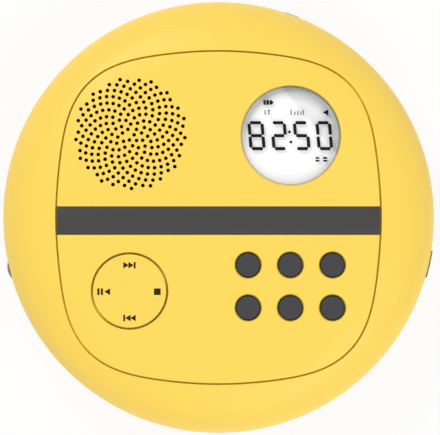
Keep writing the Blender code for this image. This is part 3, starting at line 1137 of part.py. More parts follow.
def build_chassis():
    """Pressed plate of the drive with its rod clips, gear pin and damper holes."""
    outline = [
        (CHASSIS_HALF_WIDTH, CHASSIS_BACK_Y), (-CHASSIS_HALF_WIDTH, CHASSIS_BACK_Y),
        (-CHASSIS_HALF_WIDTH, CHASSIS_SHOULDER_Y), (-CHASSIS_NOSE_HALF_WIDTH, CHASSIS_FRONT_Y),
        (CHASSIS_NOSE_HALF_WIDTH, CHASSIS_FRONT_Y), (CHASSIS_HALF_WIDTH, CHASSIS_SHOULDER_Y),
        (CHASSIS_HALF_WIDTH, CHASSIS_LUG_FRONT_Y), (CHASSIS_LUG_X, CHASSIS_LUG_FRONT_Y),
        (CHASSIS_LUG_X, CHASSIS_LUG_BACK_Y), (CHASSIS_HALF_WIDTH, CHASSIS_LUG_BACK_Y)]
    plate = prism("chassis_plate", outline, CHASSIS_BOTTOM_Z, CHASSIS_TOP_Z, STEEL)
    below = CHASSIS_BOTTOM_Z - OVERRUN
    above = CHASSIS_TOP_Z + OVERRUN
    root = CHASSIS_TOP_Z - CHASSIS_THICKNESS / 2
    for clip, (side, y) in enumerate(ROD_CLIP_PLACES):
        x = side * ROD_X
        join(plate, block(f"rod_clip_{clip}", (x - ROD_CLIP_HALF_WIDTH, y - ROD_CLIP_LENGTH / 2, root),
                          (x + ROD_CLIP_HALF_WIDTH, y + ROD_CLIP_LENGTH / 2, SLED_TOP_Z), STEEL))
    pin_top = RACK_TOP_Z + REST_GAP
    join(plate, turned("gear_pin", (
        (0, root), (GEAR_PIN_RADIUS, root), (GEAR_PIN_RADIUS, pin_top), (0, pin_top)),
        STEEL, (STEP_GEAR_X, STEP_GEAR_Y), TINY_STEPS))
    cut(plate, block("sled_window", (-SLED_WINDOW_HALF_WIDTH, SLED_WINDOW_FRONT_Y, below),
                     (SLED_WINDOW_HALF_WIDTH, SLED_WINDOW_BACK_Y, above), STEEL))
    cut(plate, upright_cutter("motor_boss_hole", 0, 0, MOTOR_BOSS_RADIUS + REST_GAP, below, above,
                              SMALL_STEPS))
    cut(plate, upright_cutter("feed_shaft_hole", PINION_X, PINION_Y, FEED_SHAFT_RADIUS * 2, below, above,
                              TINY_STEPS))
    hole_radius = DAMPER_NECK_RADIUS + REST_GAP
    for number, (x, y) in enumerate(DAMPER_PLACES):
        cut(plate, upright_cutter(f"damper_hole_{number}", x, y, hole_radius, below, above, TINY_STEPS))
    for side in (-1, 1):
        x = side * ROD_X
        cut(plate, rod_between(f"rod_bore_{side}", (x, CHASSIS_FRONT_Y, ROD_Z), (x, CHASSIS_BACK_Y, ROD_Z),
                               ROD_RADIUS + RUN_GAP, STEEL, TINY_STEPS))
    return plate


def build_drive():
    """Dampers, guide rods, spindle motor with its hub, and the pickup sled with its lens."""
    for number, (x, y) in enumerate(DAMPER_PLACES):
        turned(f"damper_{number + 1}", (
            (DAMPER_BORE_RADIUS, DAMPER_BOTTOM_Z), (DAMPER_RADIUS, DAMPER_BOTTOM_Z),
            (DAMPER_RADIUS, DAMPER_BOTTOM_Z + DAMPER_FLANGE),
            (DAMPER_NECK_RADIUS, DAMPER_BOTTOM_Z + DAMPER_FLANGE),
            (DAMPER_NECK_RADIUS, DAMPER_TOP_Z - DAMPER_FLANGE), (DAMPER_RADIUS, DAMPER_TOP_Z - DAMPER_FLANGE),
            (DAMPER_RADIUS, DAMPER_TOP_Z), (DAMPER_BORE_RADIUS, DAMPER_TOP_Z)), RUBBER, (x, y), TINY_STEPS)
    back = SLED_WINDOW_BACK_Y + ROD_CLIP_LENGTH
    front = SLED_WINDOW_FRONT_Y - ROD_CLIP_LENGTH
    for side, name in ((-1, "left"), (1, "right")):
        rod_between(f"guide_rod_{name}", (side * ROD_X, front, ROD_Z), (side * ROD_X, back, ROD_Z),
                    ROD_RADIUS, STEEL, TINY_STEPS)

    can_top = CHASSIS_BOTTOM_Z - REST_GAP
    boss_top = CHASSIS_TOP_Z + REST_GAP
    shaft_top = HUB_TOP_Z - HUB_PLATE_THICKNESS
    turned("spindle_motor", (
        (0, can_top - MOTOR_HEIGHT), (MOTOR_RADIUS, can_top - MOTOR_HEIGHT), (MOTOR_RADIUS, can_top),
        (MOTOR_BOSS_RADIUS, can_top), (MOTOR_BOSS_RADIUS, boss_top), (MOTOR_SHAFT_RADIUS, boss_top),
        (MOTOR_SHAFT_RADIUS, shaft_top), (0, shaft_top)), STEEL, (0, 0), ROUND_STEPS)
    plate_bottom = DISC_SEAT_Z - HUB_PLATE_THICKNESS
    cone_edge = (HUB_TOP_Z + DISC_SEAT_Z) / 2
    bore = MOTOR_SHAFT_RADIUS + RUN_GAP
    turned("turntable_hub", (
        (0, shaft_top + REST_GAP), (bore, shaft_top + REST_GAP), (bore, boss_top + REST_GAP),
        (HUB_SLEEVE_RADIUS, boss_top + REST_GAP), (HUB_SLEEVE_RADIUS, plate_bottom),
        (HUB_RADIUS, plate_bottom), (HUB_RADIUS, DISC_SEAT_Z), (HUB_CONE_RADIUS, DISC_SEAT_Z),
        (HUB_CONE_RADIUS, cone_edge),
        (HUB_CONE_RADIUS - (HUB_TOP_Z - cone_edge), HUB_TOP_Z), (0, HUB_TOP_Z)), GREY, (0, 0), ROUND_STEPS)

    home = SLED_HOME_Y
    sled = block("pickup_sled", (-SLED_HALF_WIDTH, home - SLED_HALF_LENGTH, SLED_BOTTOM_Z),
                 (SLED_HALF_WIDTH, home + SLED_HALF_LENGTH, SLED_TOP_Z), ALUMINIUM)
    join(sled, upright_cutter("lens_turret", 0, home, TURRET_RADIUS, SLED_TOP_Z - OVERRUN, TURRET_TOP_Z,
                              ROUND_STEPS))
    join(sled, rack_solid())
    for side in (-1, 1):
        cut(sled, rod_between(f"sled_bore_{side}", (side * ROD_X, home - SLED_HALF_LENGTH - OVERRUN, ROD_Z),
                              (side * ROD_X, home + SLED_HALF_LENGTH + OVERRUN, ROD_Z), ROD_RADIUS + RUN_GAP,
                              ALUMINIUM, TINY_STEPS))
    lens_seat = TURRET_TOP_Z + REST_GAP
    turned("pickup_lens", (
        (0, lens_seat), (LENS_CAP_RADIUS, lens_seat), (LENS_CAP_RADIUS, (lens_seat + LENS_CAP_TOP_Z) / 2),
        (LENS_CAP_RADIUS * 0.6, LENS_CAP_TOP_Z), (0, LENS_CAP_TOP_Z)), GLASS, (0, home), SMALL_STEPS)
    return sled


def rack_solid():
    """The sled's arm with the rack along its outer edge."""
    root = RACK_PITCH_X - TOOTH_MODULE * TOOTH_ROOT_SHARE
    tip = RACK_PITCH_X + TOOTH_MODULE * TOOTH_TIP_SHARE
    first = STEP_GEAR_Y + TOOTH_PITCH / 2 - TOOTH_PITCH * RACK_TEETH_BEHIND
    inner = RACK_PITCH_X - RACK_ARM_WIDTH
    outline = []
    for tooth in range(RACK_TEETH):
        middle = first + TOOTH_PITCH * tooth
        outline += [(root, middle - TOOTH_PITCH * TOOTH_ROOT_WIDTH_SHARE),
                    (tip, middle - TOOTH_PITCH * TOOTH_TIP_WIDTH_SHARE),
                    (tip, middle + TOOTH_PITCH * TOOTH_TIP_WIDTH_SHARE),
                    (root, middle + TOOTH_PITCH * TOOTH_ROOT_WIDTH_SHARE)]
    last = first + TOOTH_PITCH * (RACK_TEETH - 1)
    foot = SLED_HALF_WIDTH - OVERRUN
    neck = SLED_HALF_LENGTH - OVERRUN
    outline += [(root, last + TOOTH_PITCH / 2), (inner, last + TOOTH_PITCH / 2), (inner, SLED_HOME_Y + neck),
                (foot, SLED_HOME_Y + neck), (foot, SLED_HOME_Y - neck), (inner, SLED_HOME_Y - neck),
                (inner, first - TOOTH_PITCH / 2), (root, first - TOOTH_PITCH / 2)]
    return prism("sled_rack", outline, RACK_BOTTOM_Z, RACK_TOP_Z, ALUMINIUM)


def shifted(outline, centre):
    """A plan outline moved to its centre."""
    return [(x + centre[0], y + centre[1]) for x, y in outline]


def build_gear_train():
    """Feed motor, its pinion and the stepped gear that drives the sled's rack."""
    centre = (STEP_GEAR_X, STEP_GEAR_Y)
    large_top = GEAR_BOTTOM_Z + GEAR_THICKNESS
    gear = prism("step_gear", shifted(gear_outline(STEP_LARGE_TEETH, PINION_BEARING), centre),
                 GEAR_BOTTOM_Z, large_top, GEAR_WHITE)
    join(gear, prism("step_gear_small", shifted(gear_outline(STEP_SMALL_TEETH, math.pi), centre),
                     large_top - GEAR_THICKNESS / 2, RACK_TOP_Z, GEAR_WHITE))
    cut(gear, upright_cutter("step_gear_bore", *centre, GEAR_PIN_RADIUS + RUN_GAP, GEAR_BOTTOM_Z - OVERRUN,
                             RACK_TOP_Z + OVERRUN, TINY_STEPS))
    pinion_phase = PINION_BEARING + math.pi + math.pi / PINION_TEETH
    pinion = prism("feed_pinion", shifted(gear_outline(PINION_TEETH, pinion_phase), (PINION_X, PINION_Y)),
                   GEAR_BOTTOM_Z, large_top, GEAR_WHITE)
    cut(pinion, upright_cutter("feed_pinion_bore", PINION_X, PINION_Y, FEED_SHAFT_RADIUS + RUN_GAP,
                               GEAR_BOTTOM_Z - OVERRUN, large_top + OVERRUN, TINY_STEPS))
    can_top = CHASSIS_BOTTOM_Z - REST_GAP
    turned("feed_motor", (
        (0, can_top - FEED_MOTOR_HEIGHT), (FEED_MOTOR_RADIUS, can_top - FEED_MOTOR_HEIGHT),
        (FEED_MOTOR_RADIUS, can_top), (FEED_SHAFT_RADIUS, can_top), (FEED_SHAFT_RADIUS, large_top),
        (0, large_top)), STEEL, (PINION_X, PINION_Y), SMALL_STEPS)


def build_electronics():
    """Main board, cell, headphone jack, power socket and the volume control."""
    steps = ROUND_STEPS // 2
    sweep = MAIN_BOARD_END - MAIN_BOARD_START
    outline = [polar(MAIN_BOARD_OUTER_RADIUS, MAIN_BOARD_START + sweep * step / steps)
               for step in range(steps + 1)]
    outline += [polar(MAIN_BOARD_INNER_RADIUS, MAIN_BOARD_END - sweep * step / steps)
                for step in range(steps + 1)]
    board = prism("main_board", outline, MAIN_BOARD_TOP_Z - BOARD_THICKNESS, MAIN_BOARD_TOP_Z, BOARD)
    below = MAIN_BOARD_TOP_Z - BOARD_THICKNESS - OVERRUN
    for number, bearing in enumerate(CASE_SCREW_BEARINGS):
        if MAIN_BOARD_START < bearing < MAIN_BOARD_END:
            cut(board, upright_cutter(f"board_notch_{number}", *polar(CASE_SCREW_CIRCLE, bearing),
                                      CASE_BOSS_RADIUS + REST_GAP * 2, below, MAIN_BOARD_TOP_Z + OVERRUN,
                                      SMALL_STEPS))
    cell_bottom = FLOOR_TOP_Z + REST_GAP
    prism("battery_cell", rounded_outline(BATTERY_WIDTH / 2, BATTERY_LENGTH / 2, BATTERY_CORNER,
                                          (BATTERY_X, BATTERY_Y), 2),
          cell_bottom, cell_bottom + BATTERY_THICKNESS, SLEEVE_BLUE)

    seat = MAIN_BOARD_TOP_Z + REST_GAP
    half = JACK_BODY_WIDTH / 2
    middle = seat + JACK_BODY_HEIGHT / 2
    jack = place_radially(block("headphone_jack", (JACK_BODY_FRONT - JACK_BODY_LENGTH, -half, seat),
                                (JACK_BODY_FRONT, half, seat + JACK_BODY_HEIGHT), GREY), JACK_BEARING)
    join(jack, rod_between("jack_nose", (*polar(JACK_BODY_FRONT - OVERRUN, JACK_BEARING), middle),
                           (*polar(JACK_BODY_FRONT + JACK_NOSE_LENGTH, JACK_BEARING), middle),
                           JACK_NOSE_RADIUS, GREY))
    nose_end = JACK_BODY_FRONT + JACK_NOSE_LENGTH + OVERRUN
    cut(jack, rod_between("jack_bore", (*polar(nose_end - JACK_BORE_DEPTH, JACK_BEARING), middle),
                          (*polar(nose_end, JACK_BEARING), middle), JACK_BORE_RADIUS, GREY, TINY_STEPS))

    outline = rounded_outline(SOCKET_WIDTH / 2, SOCKET_HEIGHT / 2, SOCKET_HEIGHT / 3)
    socket = prism("power_socket", outline, SOCKET_FRONT - SOCKET_LENGTH, SOCKET_FRONT, STEEL)
    mouth_outline = rounded_outline(SOCKET_WIDTH / 2 - SOCKET_WALL, SOCKET_HEIGHT / 2 - SOCKET_WALL,
                                    SOCKET_HEIGHT / 3 - SOCKET_WALL)
    mouth = prism("socket_mouth", mouth_outline, SOCKET_FRONT - SOCKET_MOUTH_DEPTH, SOCKET_FRONT + OVERRUN,
                  STEEL)
    for piece in (socket, mouth):
        stand_on_edge(piece, SOCKET_BEARING, seat + SOCKET_HEIGHT / 2)
    cut(socket, mouth)

    wheel_x, wheel_y = WHEEL_CENTRE
    wheel_radius = math.hypot(wheel_x, wheel_y)
    pot_top = WHEEL_BOTTOM_Z - REST_GAP
    pot_outer = wheel_radius + POT_SHAFT_RADIUS
    pot = place_radially(block("volume_pot", (pot_outer - POT_DEPTH, -POT_WIDTH / 2, seat),
                               (pot_outer, POT_WIDTH / 2, pot_top), GREY), WHEEL_BEARING)
    join(pot, upright_cutter("pot_shaft", wheel_x, wheel_y, POT_SHAFT_RADIUS, pot_top - OVERRUN,
                             WHEEL_BOTTOM_Z + WHEEL_THICKNESS - REST_GAP, TINY_STEPS))
    outline = []
    for groove in range(WHEEL_GROOVES):
        for part, radius in enumerate((WHEEL_RADIUS, WHEEL_RADIUS, WHEEL_RADIUS - WHEEL_GROOVE_DEPTH)):
            angle = math.tau * (groove + part / 3) / WHEEL_GROOVES
            outline.append((wheel_x + radius * math.cos(angle), wheel_y + radius * math.sin(angle)))
    wheel = prism("volume_wheel", outline, WHEEL_BOTTOM_Z, WHEEL_BOTTOM_Z + WHEEL_THICKNESS, GREY)
    cut(wheel, upright_cutter("wheel_bore", wheel_x, wheel_y, POT_SHAFT_RADIUS + RUN_GAP,
                              WHEEL_BOTTOM_Z - OVERRUN, WHEEL_BOTTOM_Z + WHEEL_THICKNESS + OVERRUN,
                              TINY_STEPS))


def build_release_button():
    """Side button that slides in and draws its latch plate off the lid's barb."""
    outer = BODY_RADIUS + RELEASE_PROUD
    inner = BODY_RADIUS - RELEASE_HEAD_DEPTH
    steps = 6
    outline = [(inner, RELEASE_BACK_Y), (inner, RELEASE_FRONT_Y)]
    for step in range(steps + 1):
        y = RELEASE_FRONT_Y + (RELEASE_BACK_Y - RELEASE_FRONT_Y) * step / steps
        outline.append((math.sqrt(outer * outer - y * y), y))
    button = prism("release_button", outline, RELEASE_BOTTOM_Z, RELEASE_TOP_Z, GREY)
    slide_bottom = SLIDE_TOP_Z - SLIDE_THICKNESS
    join(button, block("release_web", (RELEASE_WEB_INNER_X, RELEASE_WEB_FRONT_Y, slide_bottom),
                       (RELEASE_WEB_OUTER_X, RELEASE_BACK_Y, RELEASE_TOP_Z - SLIDE_THICKNESS / 2), GREY))
    web_edge = RELEASE_WEB_OUTER_X - REST_GAP
    plan = [
        (SLIDE_INNER_X, SLIDE_BACK_Y), (SLIDE_INNER_X, SLIDE_FRONT_Y), (SLIDE_OUTER_X, SLIDE_FRONT_Y),
        (web_edge, RELEASE_WEB_FRONT_Y - REST_GAP), (web_edge, RELEASE_BACK_Y - REST_GAP),
        (RELEASE_WEB_INNER_X - REST_GAP, RELEASE_BACK_Y - REST_GAP)]
    join(button, prism("latch_slide", plan, slide_bottom, SLIDE_TOP_Z, GREY))
    low_x = LATCH_X - LATCH_THICKNESS / 2 - REST_GAP
    high_x = LATCH_X + LATCH_THICKNESS / 2 + RELEASE_TRAVEL + REST_GAP
    low_y = LATCH_Y - LATCH_WIDTH / 2 - LATCH_SWING_ROOM
    high_y = LATCH_Y + LATCH_WIDTH / 2 + REST_GAP
    cut(button, block("slide_window", (low_x, low_y, slide_bottom - OVERRUN),
                      (high_x, high_y, SLIDE_TOP_Z + OVERRUN), GREY))
    return button


def set_origin(name, point):
    """Move a piece's origin onto its joint axis and leave the piece where it is."""
    thing = bpy.data.objects[name]
    for vertex in thing.data.vertices:
        vertex.co = [vertex.co[i] - point[i] for i in range(3)]
    thing.location = point
    return thing


def carry(axis_name, point, names):
    """Hang pieces that move together on one empty that stands on their joint axis."""
    axis = bpy.data.objects.new(axis_name, None)
    bpy.context.collection.objects.link(axis)
    axis.location = point
    for name in names:
        thing = bpy.data.objects[name]
        thing.parent = axis
        thing.location = [thing.location[i] - point[i] for i in range(3)]
    return axis


def hang_on_joints():
    """Put every moving piece on its axis: lid, buttons, pad, drive, wheel and release."""
    for number, (x, y) in enumerate(BUTTON_PLACES):
        set_origin(f"button_{number + 1}", (x, y, KEY_DOME_TOP_Z))
    for name in ("pad_pillar", "control_pad"):
        set_origin(name, (PAD_X, PAD_Y, PAD_PIVOT_Z))
    set_origin("turntable_hub", (0.0, 0.0, DISC_SEAT_Z))
    set_origin("step_gear", (STEP_GEAR_X, STEP_GEAR_Y, GEAR_BOTTOM_Z))
    set_origin("feed_pinion", (PINION_X, PINION_Y, GEAR_BOTTOM_Z))
    set_origin("volume_wheel", (*WHEEL_CENTRE, WHEEL_BOTTOM_Z))
    set_origin("release_button", (BODY_RADIUS, (RELEASE_BACK_Y + RELEASE_FRONT_Y) / 2, RELEASE_BOTTOM_Z))
    carry("sled_axis", (0.0, SLED_HOME_Y, ROD_Z), ["pickup_sled", "pickup_lens"])
    lid_pieces = ["lid_shell", "lid_cover", "band_strip", "display_lens", "display_panel", "display_holder",
                  "speaker_frame", "speaker_cone", "speaker_magnet", "key_board", "key_mat", "pad_pillar",
                  "control_pad"]
    lid_pieces += [f"button_{number + 1}" for number in range(len(BUTTON_PLACES))]
    lid_pieces += [f"lid_screw_{number + 1}" for number in range(len(LID_SCREW_PLACES))]
    carry("lid_axis", (0.0, HINGE_Y, HINGE_Z), lid_pieces)


def build_feet_and_screws():
    """Four rubber feet in their recesses, four case screws and four screws of the lid's cover."""
    for number, bearing in enumerate(FOOT_BEARINGS):
        centre = polar(FOOT_CIRCLE, bearing)
        foot_top = BASE_Z + FOOT_RECESS - REST_GAP
        turned(f"foot_{number + 1}", (
            (0, 0.0), (FOOT_RADIUS - FOOT_RECESS, 0.0), (FOOT_RADIUS, FOOT_RECESS), (FOOT_RADIUS, foot_top),
            (0, foot_top)), RUBBER, centre, SMALL_STEPS)
    for number, bearing in enumerate(CASE_SCREW_BEARINGS):
        centre = polar(CASE_SCREW_CIRCLE, bearing)
        head_top = CASE_SCREW_SEAT_Z - REST_GAP
        head_bottom = head_top - CASE_SCREW_HEAD_HEIGHT
        turned(f"case_screw_{number + 1}", (
            (0, head_bottom), (CASE_SCREW_HEAD_RADIUS, head_bottom),
            (CASE_SCREW_HEAD_RADIUS, head_top), (CASE_SCREW_RADIUS, head_top),
            (CASE_SCREW_RADIUS, CASE_SCREW_TIP_Z), (0, CASE_SCREW_TIP_Z)), STEEL, centre, TINY_STEPS)
    for number, centre in enumerate(LID_SCREW_PLACES):
        seat = COVER_BOTTOM_Z + LID_SCREW_HEAD_HEIGHT - REST_GAP
        turned(f"lid_screw_{number + 1}", (
            (0, COVER_BOTTOM_Z), (LID_SCREW_HEAD_RADIUS, COVER_BOTTOM_Z), (LID_SCREW_HEAD_RADIUS, seat),
            (LID_SCREW_RADIUS, seat), (LID_SCREW_RADIUS, COVER_BOTTOM_Z + LID_SCREW_LENGTH),
            (0, COVER_BOTTOM_Z + LID_SCREW_LENGTH)), STEEL, centre, TINY_STEPS)


build_lower_shell()
build_upper_ring()
build_well_deck()
build_hinge_pins()
build_lid_shell()
build_band_strip()
build_lid_cover()
build_display()
build_speaker()
build_keys()
build_chassis()
build_drive()
build_gear_train()
build_electronics()
build_release_button()
build_feet_and_screws()
hang_on_joints()
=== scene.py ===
"""Round portable disc player dressed for its photograph: smooth shells, prints, finishes and studio.

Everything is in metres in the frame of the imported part, with the player lying flat and its controls up.
"""
from math import acos, asin, atan2, cos, dist, hypot, pi, radians, sin, sqrt, tau

import bmesh
import bpy
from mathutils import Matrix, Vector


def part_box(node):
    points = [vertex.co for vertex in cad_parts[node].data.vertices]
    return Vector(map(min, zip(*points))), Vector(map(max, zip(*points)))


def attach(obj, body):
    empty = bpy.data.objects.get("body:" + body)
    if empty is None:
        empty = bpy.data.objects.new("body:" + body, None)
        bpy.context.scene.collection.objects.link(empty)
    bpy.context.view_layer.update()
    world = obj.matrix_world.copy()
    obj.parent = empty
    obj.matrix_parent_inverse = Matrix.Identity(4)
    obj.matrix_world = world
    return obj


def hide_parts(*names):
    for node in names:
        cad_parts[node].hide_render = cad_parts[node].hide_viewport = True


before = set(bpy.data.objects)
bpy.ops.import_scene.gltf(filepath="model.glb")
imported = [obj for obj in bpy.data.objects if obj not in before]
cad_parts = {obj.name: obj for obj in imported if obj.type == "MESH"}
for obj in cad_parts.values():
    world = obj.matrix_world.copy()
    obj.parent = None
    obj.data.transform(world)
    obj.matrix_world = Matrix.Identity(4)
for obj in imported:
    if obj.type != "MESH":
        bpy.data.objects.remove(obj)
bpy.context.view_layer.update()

# Lower casing
# A deep tub of yellow ABS, injection moulded with a fine eroded grain. It carries the drive and the
# boards inside and is drawn up to the ring by four screws from below.
BODY_RADIUS = 0.0837
WIDEST_Z = 0.022
WAIST_Z = 0.02
BASE_Z = 0.0015
BASE_FLAT_RADIUS = 0.066
SHELL_WALL = 0.0018
TUB_FLOOR = 0.002
FIT = 0.0003
CREASE = radians(32)
CASING_STEPS = 240


def linear(red, green, blue):
    """A colour picked on screen, from 0 to 255, as the shader counts it."""
    return tuple(part / 255 / 12.92 if part <= 10 else ((part / 255 + 0.055) / 1.055) ** 2.4
                 for part in (red, green, blue))


def shade(colour, share):
    """The same colour, lighter or darker."""
    return tuple(min(part * share, 1.0) for part in colour)


def arithmetic(operation):
    """The plain and the reflected form of a sign, which add a Math node."""
    return (lambda self, other: self.worked(operation, self, other),
            lambda self, other: self.worked(operation, other, self))


class Signal:
    """A value that changes from place to place. Arithmetic on it adds Math nodes to its tree."""

    __add__, __radd__ = arithmetic("ADD")
    __sub__, __rsub__ = arithmetic("SUBTRACT")
    __mul__, __rmul__ = arithmetic("MULTIPLY")
    __truediv__, __rtruediv__ = arithmetic("DIVIDE")
    __pow__, __rpow__ = arithmetic("POWER")

    def __init__(self, graph, socket):
        self.graph = graph
        self.socket = socket

    def worked(self, operation, *parts):
        return self.graph.add("ShaderNodeMath", {"operation": operation}, dict(enumerate(parts)))

    def above(self, edge, softness):
        """0 below the edge and 1 above it, with a soft step between."""
        ramped = (self - (edge - softness)) / (2 * softness)
        return ramped.worked("MINIMUM", ramped.worked("MAXIMUM", ramped, 0.0), 1.0)


class Graph:
    """A node tree whose nodes are added with their settings first and their sockets after."""

    def __init__(self, tree):
        self.tree = tree

    def feed(self, socket, value):
        if isinstance(value, Signal):
            self.tree.links.new(value.socket, socket)
        elif hasattr(socket.default_value, "__len__") and len(value) < len(socket.default_value):
            socket.default_value = (*value, 1.0)
        else:
            socket.default_value = value

    def add(self, kind, settings=None, sockets=None, take=0):
        """A socket goes by its name or by its number, and a number counts the enabled ones."""
        node = self.tree.nodes.new(kind)
        for name, value in (settings or {}).items():
            setattr(node, name, value)
        inputs = [socket for socket in node.inputs if socket.enabled]
        for name, value in (sockets or {}).items():
            self.feed(inputs[name] if isinstance(name, int) else next(
                socket for socket in inputs if socket.name == name), value)
        return Signal(self, [socket for socket in node.outputs if socket.enabled][take])


class Finish(Graph):
    """One surface finish: a Principled shader fed from the piece's own Object coordinates."""

    def __init__(self, name, colour, roughness, metallic=0.0, **constants):
        self.material = bpy.data.materials.new(name)
        self.material.use_nodes = True
        super().__init__(self.material.node_tree)
        self.shader = self.tree.nodes["Principled BSDF"]
        self.vary("Base Color", colour)
        self.vary("Roughness", roughness)
        self.vary("Metallic", metallic)
        for socket, value in constants.items():
            self.vary(socket.replace("_", " "), value)
        self.material.diffuse_color = (*colour, 1.0)
        self.place = self.add("ShaderNodeTexCoord", take=3)

    def vary(self, socket, value):
        self.feed(self.shader.inputs[socket], value)

    def axis(self, number):
        return self.add("ShaderNodeSeparateXYZ", {}, {"Vector": self.place}, number)

    def measured(self, operation, point, place=None):
        """The distance of the place from a point, or its dot product with it."""
        return self.add("ShaderNodeVectorMath", {"operation": operation}, {0: place or self.place, 1: point})

    def stretched(self, across, along, up):
        """The piece's coordinates drawn out or pressed together along its three directions."""
        return self.add("ShaderNodeMapping", {}, {"Vector": self.place, "Scale": (across, along, up)})

    def noise(self, per_metre, detail, place=None):
        return self.add("ShaderNodeTexNoise", {}, {
            "Vector": place or self.place, "Scale": per_metre, "Detail": detail})

    def blended(self, share, first, second):
        return self.add("ShaderNodeMix", {"data_type": "RGBA"}, {"Factor": share, "A": first, "B": second})

    def relief(self, height, depth):
        self.vary("Normal", self.add("ShaderNodeBump", {}, {"Height": height, "Distance": depth}))

    def clouded(self, per_metre, detail, tones=None, roughness=None, depth=None):
        """A cloud between two tones. Roughness gives its part and the least value, depth its relief."""
        cloud = self.noise(per_metre, detail)
        if tones:
            self.vary("Base Color", self.blended(cloud, *tones))
        if roughness:
            self.vary("Roughness", cloud * roughness[0] + roughness[1])
        if depth:
            self.relief(cloud, depth)
        return self.material


def moulded(name, colour, roughness, grain_depth=0.000012, grain_size=0.00028, painted_shades=(), **constants):
    """Moulded plastic: a faint cloud in its colour, an eroded grain, and spots rubbed smoother by hands.
    Each painted shade is a function that gives its share over the surface, and the colour painted there for
    shade."""
    wear = 0.05
    finish = Finish(name, colour, roughness, **constants)
    cloud = finish.noise(35.0, 3.0)
    rubbed = finish.noise(140.0, 5.0).above(0.60, 0.10)
    grain = finish.noise(1.0 / grain_size, 3.0)
    speck = finish.noise(420.0, 2.0).above(0.74, 0.03)
    tone = finish.blended(cloud, shade(colour, 1.0 - wear / 2), shade(colour, 1.0 + wear / 3))
    # Painted shade: each share paints its colour over the tone, in gaps and holes where shade falls.
    for painted_share, painted_colour in painted_shades:
        tone = finish.blended(painted_share(finish), tone, painted_colour)
    finish.vary("Base Color", finish.blended(speck * wear * 2, tone, shade(colour, 0.72)))
    finish.vary("Roughness", (grain - 0.5) * 0.16 + (rubbed * -1.2 * wear + roughness))
    finish.relief(grain + cloud * 0.3, grain_depth)
    return finish.material


SHELL_YELLOW = linear(254, 215, 87)
TUB_YELLOW = moulded("yellow_shell", SHELL_YELLOW, 0.46, Specular_IOR_Level=0.42)


def placed(name, data):
    thing = bpy.data.objects.new(name, data)
    bpy.context.collection.objects.link(thing)
    return thing


def smoothed(mesh):
    mesh.shade_smooth()
    mesh.set_sharp_from_angle(angle=CREASE)


def piece(name, vertices, faces):
    """A closed mesh with outward faces, smooth except at its real edges."""
    mesh = bpy.data.meshes.new(name)
    mesh.from_pydata(vertices, [], faces)
    shape = bmesh.new()
    shape.from_mesh(mesh)
    bmesh.ops.recalc_face_normals(shape, faces=shape.faces)
    shape.to_mesh(mesh)
    shape.free()
    smoothed(mesh)
    return placed(name, mesh)


def skin(name, loops, ring=False):
    """Closed loops of equal count skinned one to the next, capped at both ends or joined into a ring."""
    count = len(loops[0])
    vertices = [point for loop in loops for point in loop]
    faces = []
    for row in range(len(loops) if ring else len(loops) - 1):
        near = row * count
        far = (row + 1) % len(loops) * count
        faces += [(near + step, near + (step + 1) % count, far + (step + 1) % count, far + step)
                  for step in range(count)]
    if not ring:
        faces.append(tuple(range(count)))
        faces.append(tuple(range(len(vertices) - 1, len(vertices) - 1 - count, -1)))
    return piece(name, vertices, faces)


CORNERS = ((1, 1), (-1, 1), (-1, -1), (1, -1))


def arc(steps, first=0, span=pi / 2):
    """Cosines and sines along an arc."""
    angles = (span * step / steps for step in range(first, steps + 1))
    return [(cos(angle), sin(angle)) for angle in angles]


def round_loop(radius, z, centre=(0.0, 0.0), steps=CASING_STEPS):
    return [(centre[0] + radius * x, centre[1] + radius * y, z) for x, y in arc(steps, span=tau)[:-1]]


def turned(name, profile, centre=(0.0, 0.0), steps=96, ring=False):
    """A body turned about an upright axis from a profile of radius and height."""
    return skin(name, [round_loop(radius, z, centre, steps) for radius, z in profile], ring)


def rod(radius, low, high):
    return [(radius, low), (radius, high)]


def pegs(name, profile, places, steps):
    """The same turned body at each place."""
    return [turned(name, profile, centre, steps) for centre in places]


def softened(profile, radius):
    """A turned profile with each corner rounded, by no more than a third of its shorter side."""
    rounded = []
    for before, corner, after in zip([profile[0]] + profile[:-1], profile, profile[1:] + [profile[-1]]):
        near, far = dist(before, corner), dist(after, corner)
        if not near or not far:
            rounded.append(corner)
            continue
        cut = min(radius, near / 3, far / 3)
        start, end = ([c + (other - c) / reach * cut for c, other in zip(corner, side)]
                      for side, reach in ((before, near), (after, far)))
        for t in (0.0, 0.25, 0.5, 0.75, 1.0):
            rounded.append(tuple((1 - t) ** 2 * a + 2 * t * (1 - t) * b + t * t * c
                                 for a, b, c in zip(start, corner, end)))
    return rounded


def applied(thing):
    """Turn a piece and its modifiers into a plain mesh."""
    bpy.context.view_layer.update()
    made = bpy.data.meshes.new_from_object(thing.evaluated_get(bpy.context.evaluated_depsgraph_get()))
    thing.modifiers.clear()
    thing.data = made
    smoothed(made)


def carve(thing, operation, *tools):
    """Cut tools out of a piece, or join them to it, and clear the tools away."""
    for tool in tools:
        modifier = thing.modifiers.new(tool.name, "BOOLEAN")
        modifier.operation = operation
        modifier.solver = "EXACT"
        modifier.object = tool
    applied(thing)
    for tool in tools:
        bpy.data.objects.remove(tool, do_unlink=True)
    return thing


def trimmed(posts, room):
    """Join posts into one piece and keep what stands within the room."""
    return carve(carve(posts[0], "UNION", *posts[1:]), "INTERSECT", room)


def coat(thing, finish):
    thing.data.materials.clear()
    thing.data.materials.append(finish)


def fit(thing, finish, body, slot, *nodes):
    """Coat a piece and mount it on its body, in place of the plain solids that it stands for."""
    coat(thing, finish)
    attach(thing, body)
    if nodes:
        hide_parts(*nodes)


def polar(radius, bearing):
    return radius * cos(bearing), radius * sin(bearing)


